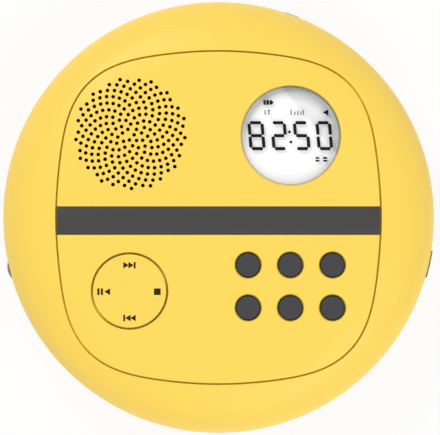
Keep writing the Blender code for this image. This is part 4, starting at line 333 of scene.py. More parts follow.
def outward(name, section, inner, bearing, z):
    """A cutter that points outward through the casing's wall along a bearing."""
    loops = []
    for reach in (inner, 0.086):
        x, y = polar(reach, bearing)
        loops.append([(x - side * sin(bearing), y + side * cos(bearing), z + rise)
                      for side, rise in section])
    return skin(name, loops)


def round_corners(half_width, half_height, radius):
    """A rectangle with round corners."""
    return [(sx * (half_width - radius) + radius * x, sy * (half_height - radius) + radius * y)
            for quarter, (sx, sy) in enumerate(CORNERS)
            for x, y in ((cos(angle), sin(angle))
                         for angle in (pi / 2 * (quarter + step / 8) for step in range(9)))]


def slab(name, half_x, low_y, high_y, radius, bottom, top, centre_x=0.0):
    """A plate with round corners."""
    plan = round_corners(half_x, (high_y - low_y) / 2, radius)
    return skin(name, [[(centre_x + x, (low_y + high_y) / 2 + y, z) for x, y in plan]
                       for z in (bottom, top)])


def belly(share, inward=0.0):
    """Point of the rounded underside, from the flat base at 0 to the widest line at 1."""
    angle = pi / 2 * share
    power = 2.0 / 2.4
    return (BASE_FLAT_RADIUS + (BODY_RADIUS - inward - BASE_FLAT_RADIUS) * sin(angle) ** power,
            WIDEST_Z - (WIDEST_Z - BASE_Z - inward) * cos(angle) ** power)


WAIST_SHARE = 0.955
middle_radius = BASE_FLAT_RADIUS * 0.5
outside = [(middle_radius, BASE_Z)] + [belly(WAIST_SHARE * step / 30) for step in range(31)]
lip = [(BODY_RADIUS - 0.0001, WAIST_Z - FIT / 2), (BODY_RADIUS - FIT, WAIST_Z),
       (BODY_RADIUS - SHELL_WALL + FIT, WAIST_Z)]
inside = [belly(WAIST_SHARE * step / 20, SHELL_WALL) for step in range(20, 0, -1)]
inside += [(BASE_FLAT_RADIUS - SHELL_WALL, BASE_Z + TUB_FLOOR), (middle_radius, BASE_Z + TUB_FLOOR)]
tub = turned("casing_tub", outside + lip + inside, steps=CASING_STEPS)

FOOT_PLACES = [polar(0.056, tau * (step + 0.5) / 4) for step in range(4)]
SCREW_PLACES = [polar(0.076, radians(angle)) for angle in (55, 125, 235, 305)]
DAMPER_PLACES = [(0.019, 0.017), (-0.019, 0.017), (0.0, -0.072)]
BOARD_POSTS = [polar(0.0696, radians(angle)) for angle in (90, 140, 185)]
SCREW_SEAT_Z = 0.014
DAMPER_SEAT_Z = 0.0112
tools = pegs("foot_recess", rod(0.0053, 0.0, 0.002), FOOT_PLACES, 48)
tools += pegs("screw_bore", [(0.0027, 0.0), (0.0027, SCREW_SEAT_Z), (0.0015, SCREW_SEAT_Z), (0.0015, 0.022)],
              SCREW_PLACES, 40)
posts = pegs("column", rod(0.0038, BASE_Z, WAIST_Z - FIT), SCREW_PLACES, 40)
posts += pegs("damper_post", [(0.0029, BASE_Z), (0.0029, DAMPER_SEAT_Z), (0.0013, DAMPER_SEAT_Z),
                              (0.0013, 0.0154), (0.0009, 0.0159)], DAMPER_PLACES, 32)
posts += pegs("board_post", rod(0.0016, BASE_Z, 0.0089), BOARD_POSTS, 32)
tools.append(outward("jack_hole", [(0.0032 * x, 0.0032 * y) for x, y in arc(48, span=tau)[:-1]],
                     0.0776, radians(70), 0.0141))
tools.append(outward("socket_slot", round_corners(0.00475, 0.002, 0.004 / 3),
                     0.0766, radians(83), 0.0128))
CELL_X = -0.044
fence = slab("cell_fence", 0.0185, -0.0355, 0.0175, 0.002, 0.0025, 0.0065, CELL_X)
carve(fence, "DIFFERENCE", slab("cell_fence_room", 0.0173, -0.0343, 0.0163, 0.002, 0.002, 0.008, CELL_X))
room = turned("tub_room", [(middle_radius, BASE_Z + 0.0009)] + [
    belly(WAIST_SHARE * step / 20, SHELL_WALL / 2) for step in range(21)] + [
    (BODY_RADIUS - SHELL_WALL / 2, 0.024)], steps=CASING_STEPS)
carve(tub, "UNION", trimmed(posts, room), fence)
carve(tub, "DIFFERENCE", *tools)
fit(tub, TUB_YELLOW, "base", "yellow_shell", "lower_shell")

# Feet and case screws
# Four black rubber discs are pressed into shallow recesses under the base. The self-tapping screws sit
# deep in their bores and are zinc plated, with a cross cut in each head.
FOOT_BLACK = linear(34, 33, 33)
rubber = Finish("foot_rubber", FOOT_BLACK, 0.82, Specular_IOR_Level=0.3)
rubber_grain = rubber.noise(2600.0, 3.0)
rubber_dust = rubber.noise(180.0, 4.0).above(0.58, 0.12)
rubber.vary("Base Color", rubber.blended(rubber_dust * 0.35, FOOT_BLACK, linear(92, 88, 82)))
rubber.vary("Roughness", rubber_grain * 0.1 + 0.78)
rubber.relief(rubber_grain, 0.00002)
for number, centre in enumerate(FOOT_PLACES, 1):
    foot = turned(f"rubber_foot_{number}", softened([
        (0.0022, 0.0), (0.0046, 0.0), (0.005, 0.0006), (0.005, 0.0017), (0.0022, 0.0017)], 0.0003),
        centre, 64)
    fit(foot, rubber.material, "base", "rubber", f"foot_{number}")


def plated(name, colour, roughness, streak):
    """Plated or turned metal with fine tool marks, drawn out by the streak, and a little tarnish."""
    metal = Finish(name, colour, roughness, 1.0)
    marks = metal.noise(900.0, 3.0, metal.stretched(*streak))
    tarnish = metal.noise(120.0, 4.0).above(0.62, 0.12)
    metal.vary("Base Color", metal.blended(tarnish * 0.5, colour, shade(colour, 0.62)))
    metal.vary("Roughness", marks * 0.14 + (tarnish * 0.12 + (roughness - 0.07)))
    metal.relief(marks, 0.000006)
    return metal.material


ZINC = plated("zinc_plate", (0.62, 0.63, 0.65), 0.30, (1.0, 1.0, 60.0))


def cross_head_screw(name, head_z, head_radius, head_height, shaft_radius, tip_z, centre):
    """A screw with its head down, its cross recess cut from below."""
    screw = turned(name, softened([
        (head_radius * 0.3, head_z), (head_radius * 0.8, head_z), (head_radius, head_z + head_height * 0.5),
        (head_radius, head_z + head_height), (shaft_radius, head_z + head_height),
        (shaft_radius, tip_z - shaft_radius), (shaft_radius * 0.3, tip_z)], head_height / 6), centre, 40)
    long, short = head_radius * 0.62, head_radius * 0.14
    cross = [[(centre[0] + sx * half_x, centre[1] + sy * half_y) for sx, sy in CORNERS]
             for half_x, half_y in ((long, short), (short, long))]
    return carve(screw, "DIFFERENCE", *[skin(f"{name}_cross", [
        [(x, y, z) for x, y in arm] for z in (head_z - 0.001, head_z + head_height * 0.5)]) for arm in cross])


for number, centre in enumerate(SCREW_PLACES, 1):
    screw = cross_head_screw(f"case_screw_dressed_{number}", 0.0119, 0.0024, 0.0018, 0.0012, 0.029, centre)
    fit(screw, ZINC, "base", "plated_steel", f"case_screw_{number}")

# Ring of the upper casing
# The second yellow moulding: a domed ring round the lid, with a rounded edge along the lid seam. It is
# notched for the volume wheel, the release button and the hinge arms.
TOP_Z = 0.042
DOME_POWER = 8.0
SEAM_HALF_WIDTH = 0.063
SEAM_HALF_DEPTH = 0.0646
SEAM_POWER = 3.174
SEAM_BOW = 0.0123
SEAM_GAP = 0.0006
SEAM_SHELF = 0.0009
EDGE_ROUND = 0.0003
LEDGE_Z = 0.0242
HINGE_Y = 0.0709
HINGE_Z = 0.033848
ARM_X = 0.009
WHEEL_CENTRE = polar(0.0775, radians(194.2))
RING_STEPS = 288
BEARINGS = [tau * step / RING_STEPS for step in range(RING_STEPS)]


def dome(x, y, inward=0.0):
    """Height of the domed top over a point, or of a face that far inside it."""
    share = min(hypot(x, y) / (BODY_RADIUS - inward), 1.0) ** DOME_POWER
    return WIDEST_Z + (TOP_Z - inward - WIDEST_Z) * sqrt(1.0 - share)


def seam(bearing, grow=0.0):
    """Distance from the middle to the lid seam along a bearing."""
    across = abs(cos(bearing)) / SEAM_HALF_WIDTH
    along = abs(sin(bearing)) / SEAM_HALF_DEPTH
    bowed = 1.0 - SEAM_BOW * sin(4 * bearing) ** 2
    return bowed * (across ** SEAM_POWER + along ** SEAM_POWER) ** (-1.0 / SEAM_POWER) + grow


def seam_loop(grow, height):
    """A loop along the seam. The height is a number, or a rule over the point."""
    return [(x, y, height(x, y) if callable(height) else height)
            for x, y in (polar(seam(bearing, grow), bearing) for bearing in BEARINGS)]


def under_dome(drop):
    return lambda x, y: dome(x, y) - drop


def draped(rows, centre, steps):
    """Rings round a centre that follow the dome. Each row gives its reach and its drop under the dome."""
    return [[(x, y, dome(x, y) - drop) for x, y, z in round_loop(reach, 0.0, centre, steps)]
            for reach, drop in rows]


def in_gap(finish):
    """1 on the walls under the domed top, in the seam and the holes, where shade falls: the mask of a painted
    shade tint that makes them look more olive.
    """
    x, y, z = (finish.axis(number) for number in range(3))
    spread = ((x * x + y * y) ** 0.5) / BODY_RADIUS
    depth = ((1 - spread ** DOME_POWER) ** 0.5) * (TOP_Z - WIDEST_Z) + WIDEST_Z - z
    return depth.above(0.00035, 0.00015) * (1 - depth.above(0.003, 0.0006)) * z.above(0.03, 0.0005)


# Painted shade tint: the walls down in the seam and the holes are painted a greener yellow, so that their
# shade looks olive.
GAP_SHADE_TINT = (in_gap, linear(254, 227, 78))
RING_YELLOW = moulded("ring_yellow", SHELL_YELLOW, 0.46, painted_shades=(GAP_SHADE_TINT,), Specular_IOR_Level=0.42)
ring_edge = SEAM_GAP / 2
ring_inside = BODY_RADIUS - SHELL_WALL
ring_foot = WAIST_Z + FIT
ring_loops = [seam_loop(ring_edge + EDGE_ROUND * (1 - x), under_dome(EDGE_ROUND * (1 - y)))
              for x, y in arc(5)[:-1]]
for row in range(33):
    loop = []
    for bearing in BEARINGS:
        start = asin((seam(bearing, ring_edge + EDGE_ROUND) / BODY_RADIUS) ** (DOME_POWER / 2))
        angle = start + (pi / 2 - start) * row / 32
        loop.append((*polar(BODY_RADIUS * sin(angle) ** (2 / DOME_POWER), bearing),
                     WIDEST_Z + (TOP_Z - WIDEST_Z) * cos(angle)))
    ring_loops.append(loop)
ring_loops += [round_loop(radius, z, steps=RING_STEPS) for radius, z in (
    (BODY_RADIUS, ring_foot + FIT), (BODY_RADIUS - FIT / 2, ring_foot), (ring_inside, ring_foot),
    (ring_inside, WIDEST_Z))]
for row in range(15, -1, -1):
    loop = []
    for bearing in BEARINGS:
        start = seam(bearing, ring_edge + SHELL_WALL)
        x, y = polar(start + (ring_inside - start) * sin(pi / 2 * row / 16), bearing)
        loop.append((x, y, dome(x, y, SHELL_WALL)))
    ring_loops.append(loop)
ring_loops += [seam_loop(ring_edge + grow, LEDGE_Z + FIT) for grow in (SHELL_WALL, -SEAM_SHELF)]
ring_loops += [seam_loop(ring_edge - reach, under_dome(drop))
               for reach, drop in ((SEAM_SHELF, 0.0028), (SEAM_GAP, 0.0019), (0.0, 0.0014))]
ring = skin("casing_ring", ring_loops, ring=True)


def box_tool(name, low, high):
    plan = [(low[0], low[1]), (high[0], low[1]), (high[0], high[1]), (low[0], high[1])]
    return skin(name, [[(x, y, z) for x, y in plan] for z in (low[2], high[2])])


arm_half = 0.0026
notches = [box_tool("arm_slot", (middle - arm_half, 0.063, 0.02), (middle + arm_half, 0.0677, 0.0367))
           for middle in (-ARM_X, ARM_X)]
notches.append(turned("wheel_notch", rod(0.0073, 0.019, 0.0241), WHEEL_CENTRE))
notches.append(box_tool("release_notch", (0.0757, -0.0236, 0.019), (0.0847, -0.0126, 0.0267)))
notches += pegs("pilot", rod(0.00135, WAIST_Z, 0.0293), SCREW_PLACES, 32)
bosses = pegs("ring_boss", rod(0.0033, LEDGE_Z + FIT, TOP_Z), SCREW_PLACES, 40)
room_radius = BODY_RADIUS - SHELL_WALL / 2
room = skin("ring_room", [round_loop(room_radius, WAIST_Z)] + [
    [(x, y, dome(x, y, SHELL_WALL / 2)) for x, y, z in round_loop(room_radius * share, 0.0)]
    for share in (0.999, 0.99, 0.97, 0.95, 0.92, 0.88, 0.84, 0.80)])
carve(ring, "UNION", trimmed(bosses, room))
carve(ring, "DIFFERENCE", *notches)
fit(ring, RING_YELLOW, "base", "yellow_shell", "upper_ring")

# Disc tray
# A dark ABS tray under the lid that the disc lies in. The spindle and the pickup look up through its
# floor, and the ears of the hinge and three lid rests stand on its ledge.
TRAY_FLOOR_Z = 0.0214
TRAY_WALL = 0.0018
TRAY_RADIUS = 0.0615
DECK_RADIUS = 0.0765
LENS_HOME_Y = -0.0235
LENS_REACH = 0.0237
EAR_RADIUS = 0.0019
EAR_WIDTH = 0.0016
DARK_PLASTIC = moulded("tray_plastic", linear(72, 71, 72), 0.52, 0.00002, 0.0004)
tray = turned("disc_tray", softened([
    (0.008, TRAY_FLOOR_Z), (0.017, TRAY_FLOOR_Z), (0.0176, TRAY_FLOOR_Z - 0.0004),
    (0.058, TRAY_FLOOR_Z - 0.0004), (0.0586, TRAY_FLOOR_Z), (TRAY_RADIUS, TRAY_FLOOR_Z),
    (TRAY_RADIUS, LEDGE_Z), (DECK_RADIUS, LEDGE_Z), (DECK_RADIUS, LEDGE_Z - TRAY_WALL),
    (TRAY_RADIUS + TRAY_WALL, LEDGE_Z - TRAY_WALL), (TRAY_RADIUS + TRAY_WALL, TRAY_FLOOR_Z - TRAY_WALL),
    (0.008, TRAY_FLOOR_Z - TRAY_WALL), (0.008, TRAY_FLOOR_Z - TRAY_WALL / 2)], 0.0003),
    steps=CASING_STEPS, ring=True)
window_middle = LENS_HOME_Y - 0.0165 + 0.00432
tray_tools = [slab("pickup_window", 0.0096, window_middle - LENS_REACH, window_middle + LENS_REACH, 0.0048,
                   0.018, 0.023)]
tray_tools += [box_tool(name, (*low, bottom), (*high, 0.026)) for name, low, high, bottom in (
    ("latch_slot", (0.05175, -0.04585), (0.05385, -0.03865), 0.018),
    ("barb_slot", (0.05075, -0.04585), (0.0528, -0.03865), 0.018),
    ("release_gap", (0.0736, -0.0236), (0.085, -0.0126), 0.02))]
tray_tools.append(turned("wheel_gap", rod(0.0076, 0.02, 0.026), WHEEL_CENTRE, 64))
tray_tools += pegs("tray_bore", rod(0.0015, 0.02, 0.026), SCREW_PLACES, 32)
carve(tray, "DIFFERENCE", *tray_tools)


def hinge_plate(name, outline, low_x, width):
    """An upright plate beside the hinge pin. Its outline is given round the pin's middle."""
    return skin(name, [[(x, HINGE_Y + y, HINGE_Z + z) for y, z in outline] for x in (low_x, low_x + width)])


eye = [(EAR_RADIUS * x, EAR_RADIUS * y) for x, y in arc(16, span=pi)]
ear = [(y, LEDGE_Z - 0.001 - HINGE_Z) for y in (-EAR_RADIUS, EAR_RADIUS)] + eye
stands = [hinge_plate("ear", ear, side * ARM_X + edge, EAR_WIDTH)
          for side in (-1, 1) for edge in (-0.0023 - EAR_WIDTH, 0.0023)]
stands += pegs("rest", [(0.0018, LEDGE_Z - 0.001), (0.0018, 0.026), (0.0015, 0.0263)],
               [polar(0.066, tau * (number + 0.5) / 4) for number in range(3)], 32)
carve(tray, "UNION", *stands)
fit(tray, DARK_PLASTIC, "base", "dark_plastic", "well_deck")

# Spindle
# A moulded turntable pressed on the motor's shaft. Three sprung steel balls in its cone hold the disc,
# and a ring of felt-black rubber keeps it from slipping.
SEAT_Z = 0.0233
SEAT_EDGE_Z = SEAT_Z - 0.0002
SHAFT_BORE = 0.00115
BALL_RADIUS = 0.0008
CHARCOAL = moulded("charcoal_plastic", linear(78, 76, 77), 0.42, 0.00001, 0.00025)
hub = turned("turntable", softened([
    (SHAFT_BORE, 0.0246), (SHAFT_BORE, 0.0149), (0.004, 0.0149), (0.004, SEAT_Z - 0.0013),
    (0.014, SEAT_Z - 0.0013), (0.014, SEAT_EDGE_Z), (0.0134, SEAT_EDGE_Z), (0.0134, SEAT_Z),
    (0.011, SEAT_Z), (0.011, SEAT_EDGE_Z), (0.0078, SEAT_EDGE_Z), (0.0073, SEAT_EDGE_Z),
    (0.0073, 0.0246), (0.0066, 0.0254), (0.004, 0.0256), (0.0034, 0.0252), (SHAFT_BORE, 0.0252)], 0.0002),
    ring=True)
fit(hub, CHARCOAL, "spindle", "grey_plastic", "turntable_hub")
for number in range(3):
    ball = turned(f"hub_ball_{number + 1}", [
        (max(BALL_RADIUS * y, 0.00002), 0.0243 - BALL_RADIUS * x) for x, y in arc(16, span=pi)],
        polar(0.0066, tau * number / 3 + pi / 6), 32)
    fit(ball, ZINC, "spindle", "plated_steel")

# Disc drive under the tray
# A pressed steel plate on rubber dampers carries both motors, two ground rods and the die-cast sled. The
# sled's rack, the stepped gear and the motor's pinion are nylon on the drive's right side.
PRESSED_STEEL = plated("pressed_steel", (0.58, 0.59, 0.60), 0.34, (1.0, 14.0, 1.0))
GROUND_STEEL = plated("ground_steel", (0.68, 0.69, 0.71), 0.16, (60.0, 1.0, 60.0))
CAST_ALLOY = plated("cast_alloy", (0.66, 0.67, 0.68), 0.42, (1.0, 1.0, 1.0))
NYLON = moulded("gear_nylon", linear(228, 226, 214), 0.40, 0.000008, 0.0002)


def refinish(finish, *nodes):
    """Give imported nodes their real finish."""
    for node in nodes:
        coat(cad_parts[node], finish)


refinish(PRESSED_STEEL, "chassis_plate", "spindle_motor", "feed_motor")
refinish(GROUND_STEEL, "guide_rod_left", "guide_rod_right", "hinge_pin_left", "hinge_pin_right")
refinish(CAST_ALLOY, "pickup_sled")
refinish(NYLON, "step_gear", "feed_pinion")
refinish(rubber.material, "damper_1", "damper_2", "damper_3")
LENS_RADIUS = 0.0024
LENS_TOP_Z = 0.0204
LENS_GLASS = Finish("pickup_glass", (0.30, 0.26, 0.52), 0.06, Coat_Weight=1.0).clouded(
    900.0, 2.0, ((0.24, 0.20, 0.50), (0.40, 0.34, 0.60)))
rows = [(0.0004, 0.0194), (LENS_RADIUS, 0.0194), (LENS_RADIUS, 0.0201)]
rows += [(LENS_RADIUS - 0.0006 * share, 0.0201 + 0.0003 * share) for share in (1 / 3, 2 / 3, 1.0)]
rows += [(0.0018 * x + 0.00004, LENS_TOP_Z + 0.0005 * y) for x, y in arc(8, 1)]
lens = turned("pickup_objective", rows, (0.0, LENS_HOME_Y), 48)
fit(lens, LENS_GLASS, "sled", "lens_glass", "pickup_lens")

# Boards, cell and sockets
# A green lacquered board carries the sound circuit beside a pouch cell in blue film. The headphone jack
# and the power socket reach the casing's back wall.
board = Finish("board_lacquer", linear(24, 92, 52), 0.38)
trace = board.add("ShaderNodeTexBrick", {}, {
    "Vector": board.place, "Scale": 180.0, "Mortar Size": 0.012, "Color1": (0.0, 0.0, 0.0),
    "Color2": (0.15, 0.15, 0.15), "Mortar": (1.0, 1.0, 1.0)}, take=1)
board_cloud = board.noise(60.0, 3.0)
board.vary("Base Color", board.blended(trace * 0.6, board.blended(
    board_cloud, linear(20, 84, 47), linear(30, 104, 60)), linear(66, 140, 84)))
board.vary("Roughness", board_cloud * 0.12 + 0.32)
board.relief(trace, 0.00002)
CELL_FILM = Finish("cell_film", linear(40, 76, 150), 0.30, Coat_Weight=0.3).clouded(
    260.0, 5.0, (linear(34, 66, 134), linear(54, 92, 168)), (0.2, 0.22), 0.0001)
refinish(board.material, "main_board", "key_board")
refinish(CELL_FILM, "battery_cell")
refinish(CHARCOAL, "headphone_jack", "volume_pot", "display_holder")
refinish(GROUND_STEEL, "power_socket")
refinish(rubber.material, "key_mat", "pad_pillar")
refinish(PRESSED_STEEL, "speaker_magnet")

# Lid
# The third yellow moulding fills the rounded square inside the ring. Its holes for the display, the pad
# and the six keys have a small lip, and the speaker's holes are set out like seeds in a sunflower.
SKIN = 0.0016
DISPLAY = (0.028, 0.03175)
DISPLAY_RADIUS = 0.0195
PAD = (-0.0345, -0.0285)
PAD_HOLE = 0.015
KEY_HOLE = 0.0052
KEY_PLACES = [(x, y) for y in (-0.0184, -0.035) for x in (0.0115, 0.02785, 0.0442)]
COVER_SCREWS = [(0.0545, 0.0), (0.0, 0.0561), (-0.0545, 0.0), (0.0, -0.0561)]
GRILLE = (-0.03408, 0.03246)
HINGE_BACK = 0.006
HINGE_DEPTH = 0.0068
LID_FOOT_Z = 0.0285
swing = hypot(HINGE_BACK, HINGE_DEPTH) + 0.00035


def lean(depth):
    """How far the lid's side leans in at a depth, so that it clears the ring as it swings."""
    return sqrt(swing ** 2 - max(HINGE_DEPTH - depth, 0.0) ** 2) - (HINGE_BACK + SEAM_GAP)


def hole_foot(finish):
    """1 in the foot of the speaker's outermost holes, which end in the lid's wall: painted shade makes that
    foot nearly black, so these holes look as dark as the others.
    """
    away = finish.measured("DISTANCE", (*GRILLE, 0.0), finish.stretched(1.0, 1.0, 0.0))
    height = finish.axis(2)
    return (1 - away.above(0.022, 0.00005)) * (1 - height.above(0.0368, 0.0003))


# Painted shade on the lid: the greener tint in its gaps, and nearly black in the foot of the blind speaker
# holes.
LID_YELLOW = moulded("lid_yellow", SHELL_YELLOW, 0.46, Specular_IOR_Level=0.42,
                     painted_shades=(GAP_SHADE_TINT, (hole_foot, shade(SHELL_YELLOW, 0.02))))
lid_edge = -SEAM_GAP / 2
lid_foot = lid_edge - lean(HINGE_DEPTH)


def lid_row(share, grow, drop):
    """A loop over the lid, drawn in towards its middle."""
    loop = [(x * share, y * share) for x, y, z in seam_loop(grow, 0.0)]
    return [(x, y, dome(x, y) - drop) for x, y in loop]


lid_loops = [lid_row(rise, lid_edge - EDGE_ROUND, 0.0) for run, rise in arc(48, 1)]
lid_loops += [seam_loop(lid_edge - EDGE_ROUND * (1 - y), under_dome(EDGE_ROUND * (1 - x)))
              for x, y in arc(5, 1)]
lid_loops += [seam_loop(lid_edge - lean(depth), under_dome(depth))
              for depth in (0.0012, 0.0022, 0.0034, 0.005, HINGE_DEPTH)]
lid_loops += [seam_loop(lid_foot, LID_FOOT_Z), seam_loop(lid_foot - SKIN, LID_FOOT_Z)]
lid_loops += [seam_loop(lid_edge - lean(depth) - SKIN, under_dome(depth)) for depth in (HINGE_DEPTH, 0.0034)]
lid_loops += [lid_row(share, lid_edge, SKIN) for share in (0.955, 0.90, 0.80, 0.68, 0.54, 0.38, 0.20, 0.02)]
lid = skin("lid_top", lid_loops)
carve(lid, "UNION", *[turned("lid_boss", rod(0.0025, LID_FOOT_Z, dome(*centre) - SKIN / 2), centre, 32)
                      for centre in COVER_SCREWS])


def hole_tool(centre, radius, lip, steps, draft=0.0):
    """A round cutter through the lid that leaves a rounded lip along the dome."""
    rows = [(radius - draft * 2.5, SKIN * 2.5), (radius, lip)]
    rows += [(radius + lip * (1 - x), lip * (1 - y)) for x, y in arc(3, 1)]
    return skin("hole", draped(rows + [(radius + lip, -0.0015)], centre, steps))


BAND_Y = -0.00121
BAND_HALF = 0.0054


def band_loops(half_width, drop_low, drop_high, reach, round_off=0.0):
    """Cross sections of a strip that follows the dome from side to side."""
    rim = drop_high + round_off
    section = [(-half_width, drop_low), (half_width, drop_low), (half_width, rim)]
    if round_off:
        third = round_off * 0.3
        bevel = [(half_width - third, drop_high + third), (half_width - round_off, drop_high)]
        section += bevel + [(-y, drop) for y, drop in reversed(bevel)]
    section.append((-half_width, rim))
    return [[(x, BAND_Y + y, dome(x, BAND_Y) - drop) for y, drop in section]
            for x in (-reach + 2 * reach * step / 80 for step in range(81))]


lid_tools = [hole_tool(DISPLAY, DISPLAY_RADIUS, 0.0003, 144), hole_tool(PAD, PAD_HOLE, 0.0003, 128)]
lid_tools += [hole_tool(centre, KEY_HOLE, 0.0004, 72, 0.0005) for centre in KEY_PLACES]
lid_tools += pegs("lid_pilot", rod(0.00095, LID_FOOT_Z - 0.001, 0.0329), COVER_SCREWS, 24)
lid_tools.append(skin("band_recess", band_loops(BAND_HALF + FIT / 2, 0.0011, -0.001, 0.064)))
carve(lid, "DIFFERENCE", *lid_tools)


class Pattern(Graph):
    """A Geometry Nodes recipe with named sizes. It runs once and leaves a plain mesh."""

    def __init__(self, name, sizes):
        super().__init__(bpy.data.node_groups.new(name, "GeometryNodeTree"))
        self.values = {}
        for label, way in (("Piece", "INPUT"), ("Made", "OUTPUT")):
            self.tree.interface.new_socket(name=label, in_out=way, socket_type="NodeSocketGeometry")
        for label, value in sizes.items():
            kind = "NodeSocketInt" if isinstance(value, int) else "NodeSocketFloat"
            socket = self.tree.interface.new_socket(name=label, in_out="INPUT", socket_type=kind)
            self.values[socket.identifier] = value
        self.source = self.tree.nodes.new("NodeGroupInput")
        self.result = self.tree.nodes.new("NodeGroupOutput")

    def size(self, label):
        return Signal(self, self.source.outputs[label])

    def run(self, thing, made, finish):
        """Realize the result on a piece, in one finish, and take the recipe off again."""
        solid = self.add("GeometryNodeRealizeInstances", {}, {"Geometry": made})
        dressed = self.add("GeometryNodeSetMaterial", {}, {"Geometry": solid, "Material": finish})
        self.tree.links.new(dressed.socket, self.result.inputs["Made"])
        modifier = thing.modifiers.new(self.tree.name, "NODES")
        modifier.node_group = self.tree
        for identifier, value in self.values.items():
            modifier[identifier] = value
        applied(thing)


seeds = Pattern("speaker_holes", {
    "Holes": 233, "Field radius": 0.02167, "Hole radius": 0.00076, "Centre X": GRILLE[0],
    "Centre Y": GRILLE[1], "Body radius": BODY_RADIUS, "Crown": TOP_Z - WIDEST_Z, "Widest height": WIDEST_Z})
GOLDEN_TURN = pi * (3.0 - sqrt(5.0))
FIRST_BEARING = radians(-15.8)
index = seeds.add("GeometryNodeInputIndex")
away = seeds.size("Field radius") * (((index + 1) / seeds.size("Holes")) ** 0.5)
turn = index * GOLDEN_TURN + FIRST_BEARING
hole_x = away * turn.worked("COSINE", turn) + seeds.size("Centre X")
hole_y = away * turn.worked("SINE", turn) + seeds.size("Centre Y")
spread = ((hole_x * hole_x + hole_y * hole_y) ** 0.5) / seeds.size("Body radius")
hole_z = ((1 - spread ** DOME_POWER) ** 0.5) * seeds.size("Crown") + (seeds.size("Widest height") - 0.00175)
hole_places = seeds.add("GeometryNodePoints", {}, {
    "Count": seeds.size("Holes"),
    "Position": seeds.add("ShaderNodeCombineXYZ", {}, {"X": hole_x, "Y": hole_y, "Z": hole_z})})
drill = seeds.add("GeometryNodeMeshCylinder", {}, {
    "Vertices": 16, "Radius": seeds.size("Hole radius"), "Depth": 0.0065})
drills = seeds.add("GeometryNodeInstanceOnPoints", {}, {"Points": hole_places, "Instance": drill})
seeds.run(lid, seeds.add("GeometryNodeMeshBoolean", {"operation": "DIFFERENCE", "solver": "EXACT"}, {
    "Mesh 1": seeds.size("Piece"),
    "Mesh 2": seeds.add("GeometryNodeRealizeInstances", {}, {"Geometry": drills})}), LID_YELLOW)
fit(lid, LID_YELLOW, "lid", "yellow_shell", "lid_shell")

# Dark band
# A strip of charcoal ABS bonded into a shallow recess across the lid, flush with the dome.
BAND_GREY = moulded("band_plastic", linear(66, 64, 63), 0.55, 0.000008, 0.0003, Specular_IOR_Level=0.25)
band = skin("lid_band", band_loops(BAND_HALF, 0.0008, 0.0, 0.0627, 0.0002))
fit(band, BAND_GREY, "lid", "grey_plastic", "band_strip")

# Speaker
# A black paper cone in a pressed frame, right under the holes of the lid.
CONE_PAPER = Finish("cone_paper", linear(26, 25, 25), 0.92).clouded(
    1500.0, 4.0, (linear(18, 17, 17), linear(34, 33, 32)), (0.1, 0.86), 0.00004)
refinish(CONE_PAPER, "speaker_cone", "speaker_frame")

# Display
# A clear acrylic window, flush in the lid, over a liquid crystal cell on a white reflector. The dark
# segments stand on the cell's glass, so they throw a soft shadow on the white below.
DISPLAY_TOP_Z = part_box("display_panel")[1].z
CELL_Z = DISPLAY_TOP_Z + 0.0015
DISPLAY_STEPS = 144
SCALE = 0.0003877
SMOKE = (0.10, 0.10, 0.10)
CLEAR_ACRYLIC = Finish("clear_acrylic", SMOKE, 0.05, Alpha=0.03, Specular_IOR_Level=0.10).clouded(
    90.0, 4.0, roughness=(0.10, 0.02))
window_rows = [((DISPLAY_RADIUS - FIT) * share, drop) for share, drop in (
    (0.02, 0.0), (0.35, 0.0), (0.7, 0.0), (0.985, 0.0), (1.0, 0.00025), (1.0, 0.0012), (0.02, 0.0012))]
window = skin("display_window", draped(window_rows, DISPLAY, DISPLAY_STEPS))
fit(window, CLEAR_ACRYLIC, "lid", "clear_window", "display_lens")


def painted_window_shade(finish):
    """Painted shade and reflection: 0 where the reflector is fully lit and 1 at the upper rim, where the
    recess would shade it, with a faint painted step at the right that stands in for a reflection on the
    window, and a little less shade at the very rim.
    """
    spread = finish.measured("DISTANCE", (DISPLAY[0] - 0.0005, DISPLAY[1] - 0.0021, DISPLAY_TOP_Z))
    right = finish.measured("DOT_PRODUCT", (0.770, 0.637, 0.0))
    rim = finish.measured("DISTANCE", (*DISPLAY, DISPLAY_TOP_Z))
    return (spread.above(0.018, 0.0025) * 0.85 + right.above(0.05105, 0.0005) * 0.32
            - rim.above(0.018, 0.0003) * 0.25)


# Painted glow and painted shade: the white reflector gives off light of its own, and towards its upper rim
# its glow fades and its colour falls to grey.
white = Finish("reflector_white", linear(250, 251, 249), 0.5, Emission_Strength=0.31)
milk = white.noise(70.0, 3.0)
reflector_painted_shade = painted_window_shade(white)
white.vary("Emission Color", white.blended(reflector_painted_shade, (1.0, 1.0, 1.0), (0.08, 0.08, 0.08)))
white.vary("Base Color", white.blended(reflector_painted_shade, white.blended(
    milk, linear(251, 252, 251), linear(254, 254, 253)), linear(206, 208, 209)))
white.vary("Roughness", milk * 0.1 + 0.45)
panel_radius = DISPLAY_RADIUS - 0.0007
panel = turned("display_reflector", softened([
    (0.0005, DISPLAY_TOP_Z - 0.0018), (panel_radius, DISPLAY_TOP_Z - 0.0018), (panel_radius, DISPLAY_TOP_Z),
    (0.0005, DISPLAY_TOP_Z)], 0.0002), DISPLAY, DISPLAY_STEPS)
fit(panel, white.material, "lid", "display_white", "display_panel")


def photo_point(px, py):
    """A point on the lid from its place in the photograph, measured from the seam's middle."""
    return (px - 218.5) * SCALE, (217.5 - py) * SCALE


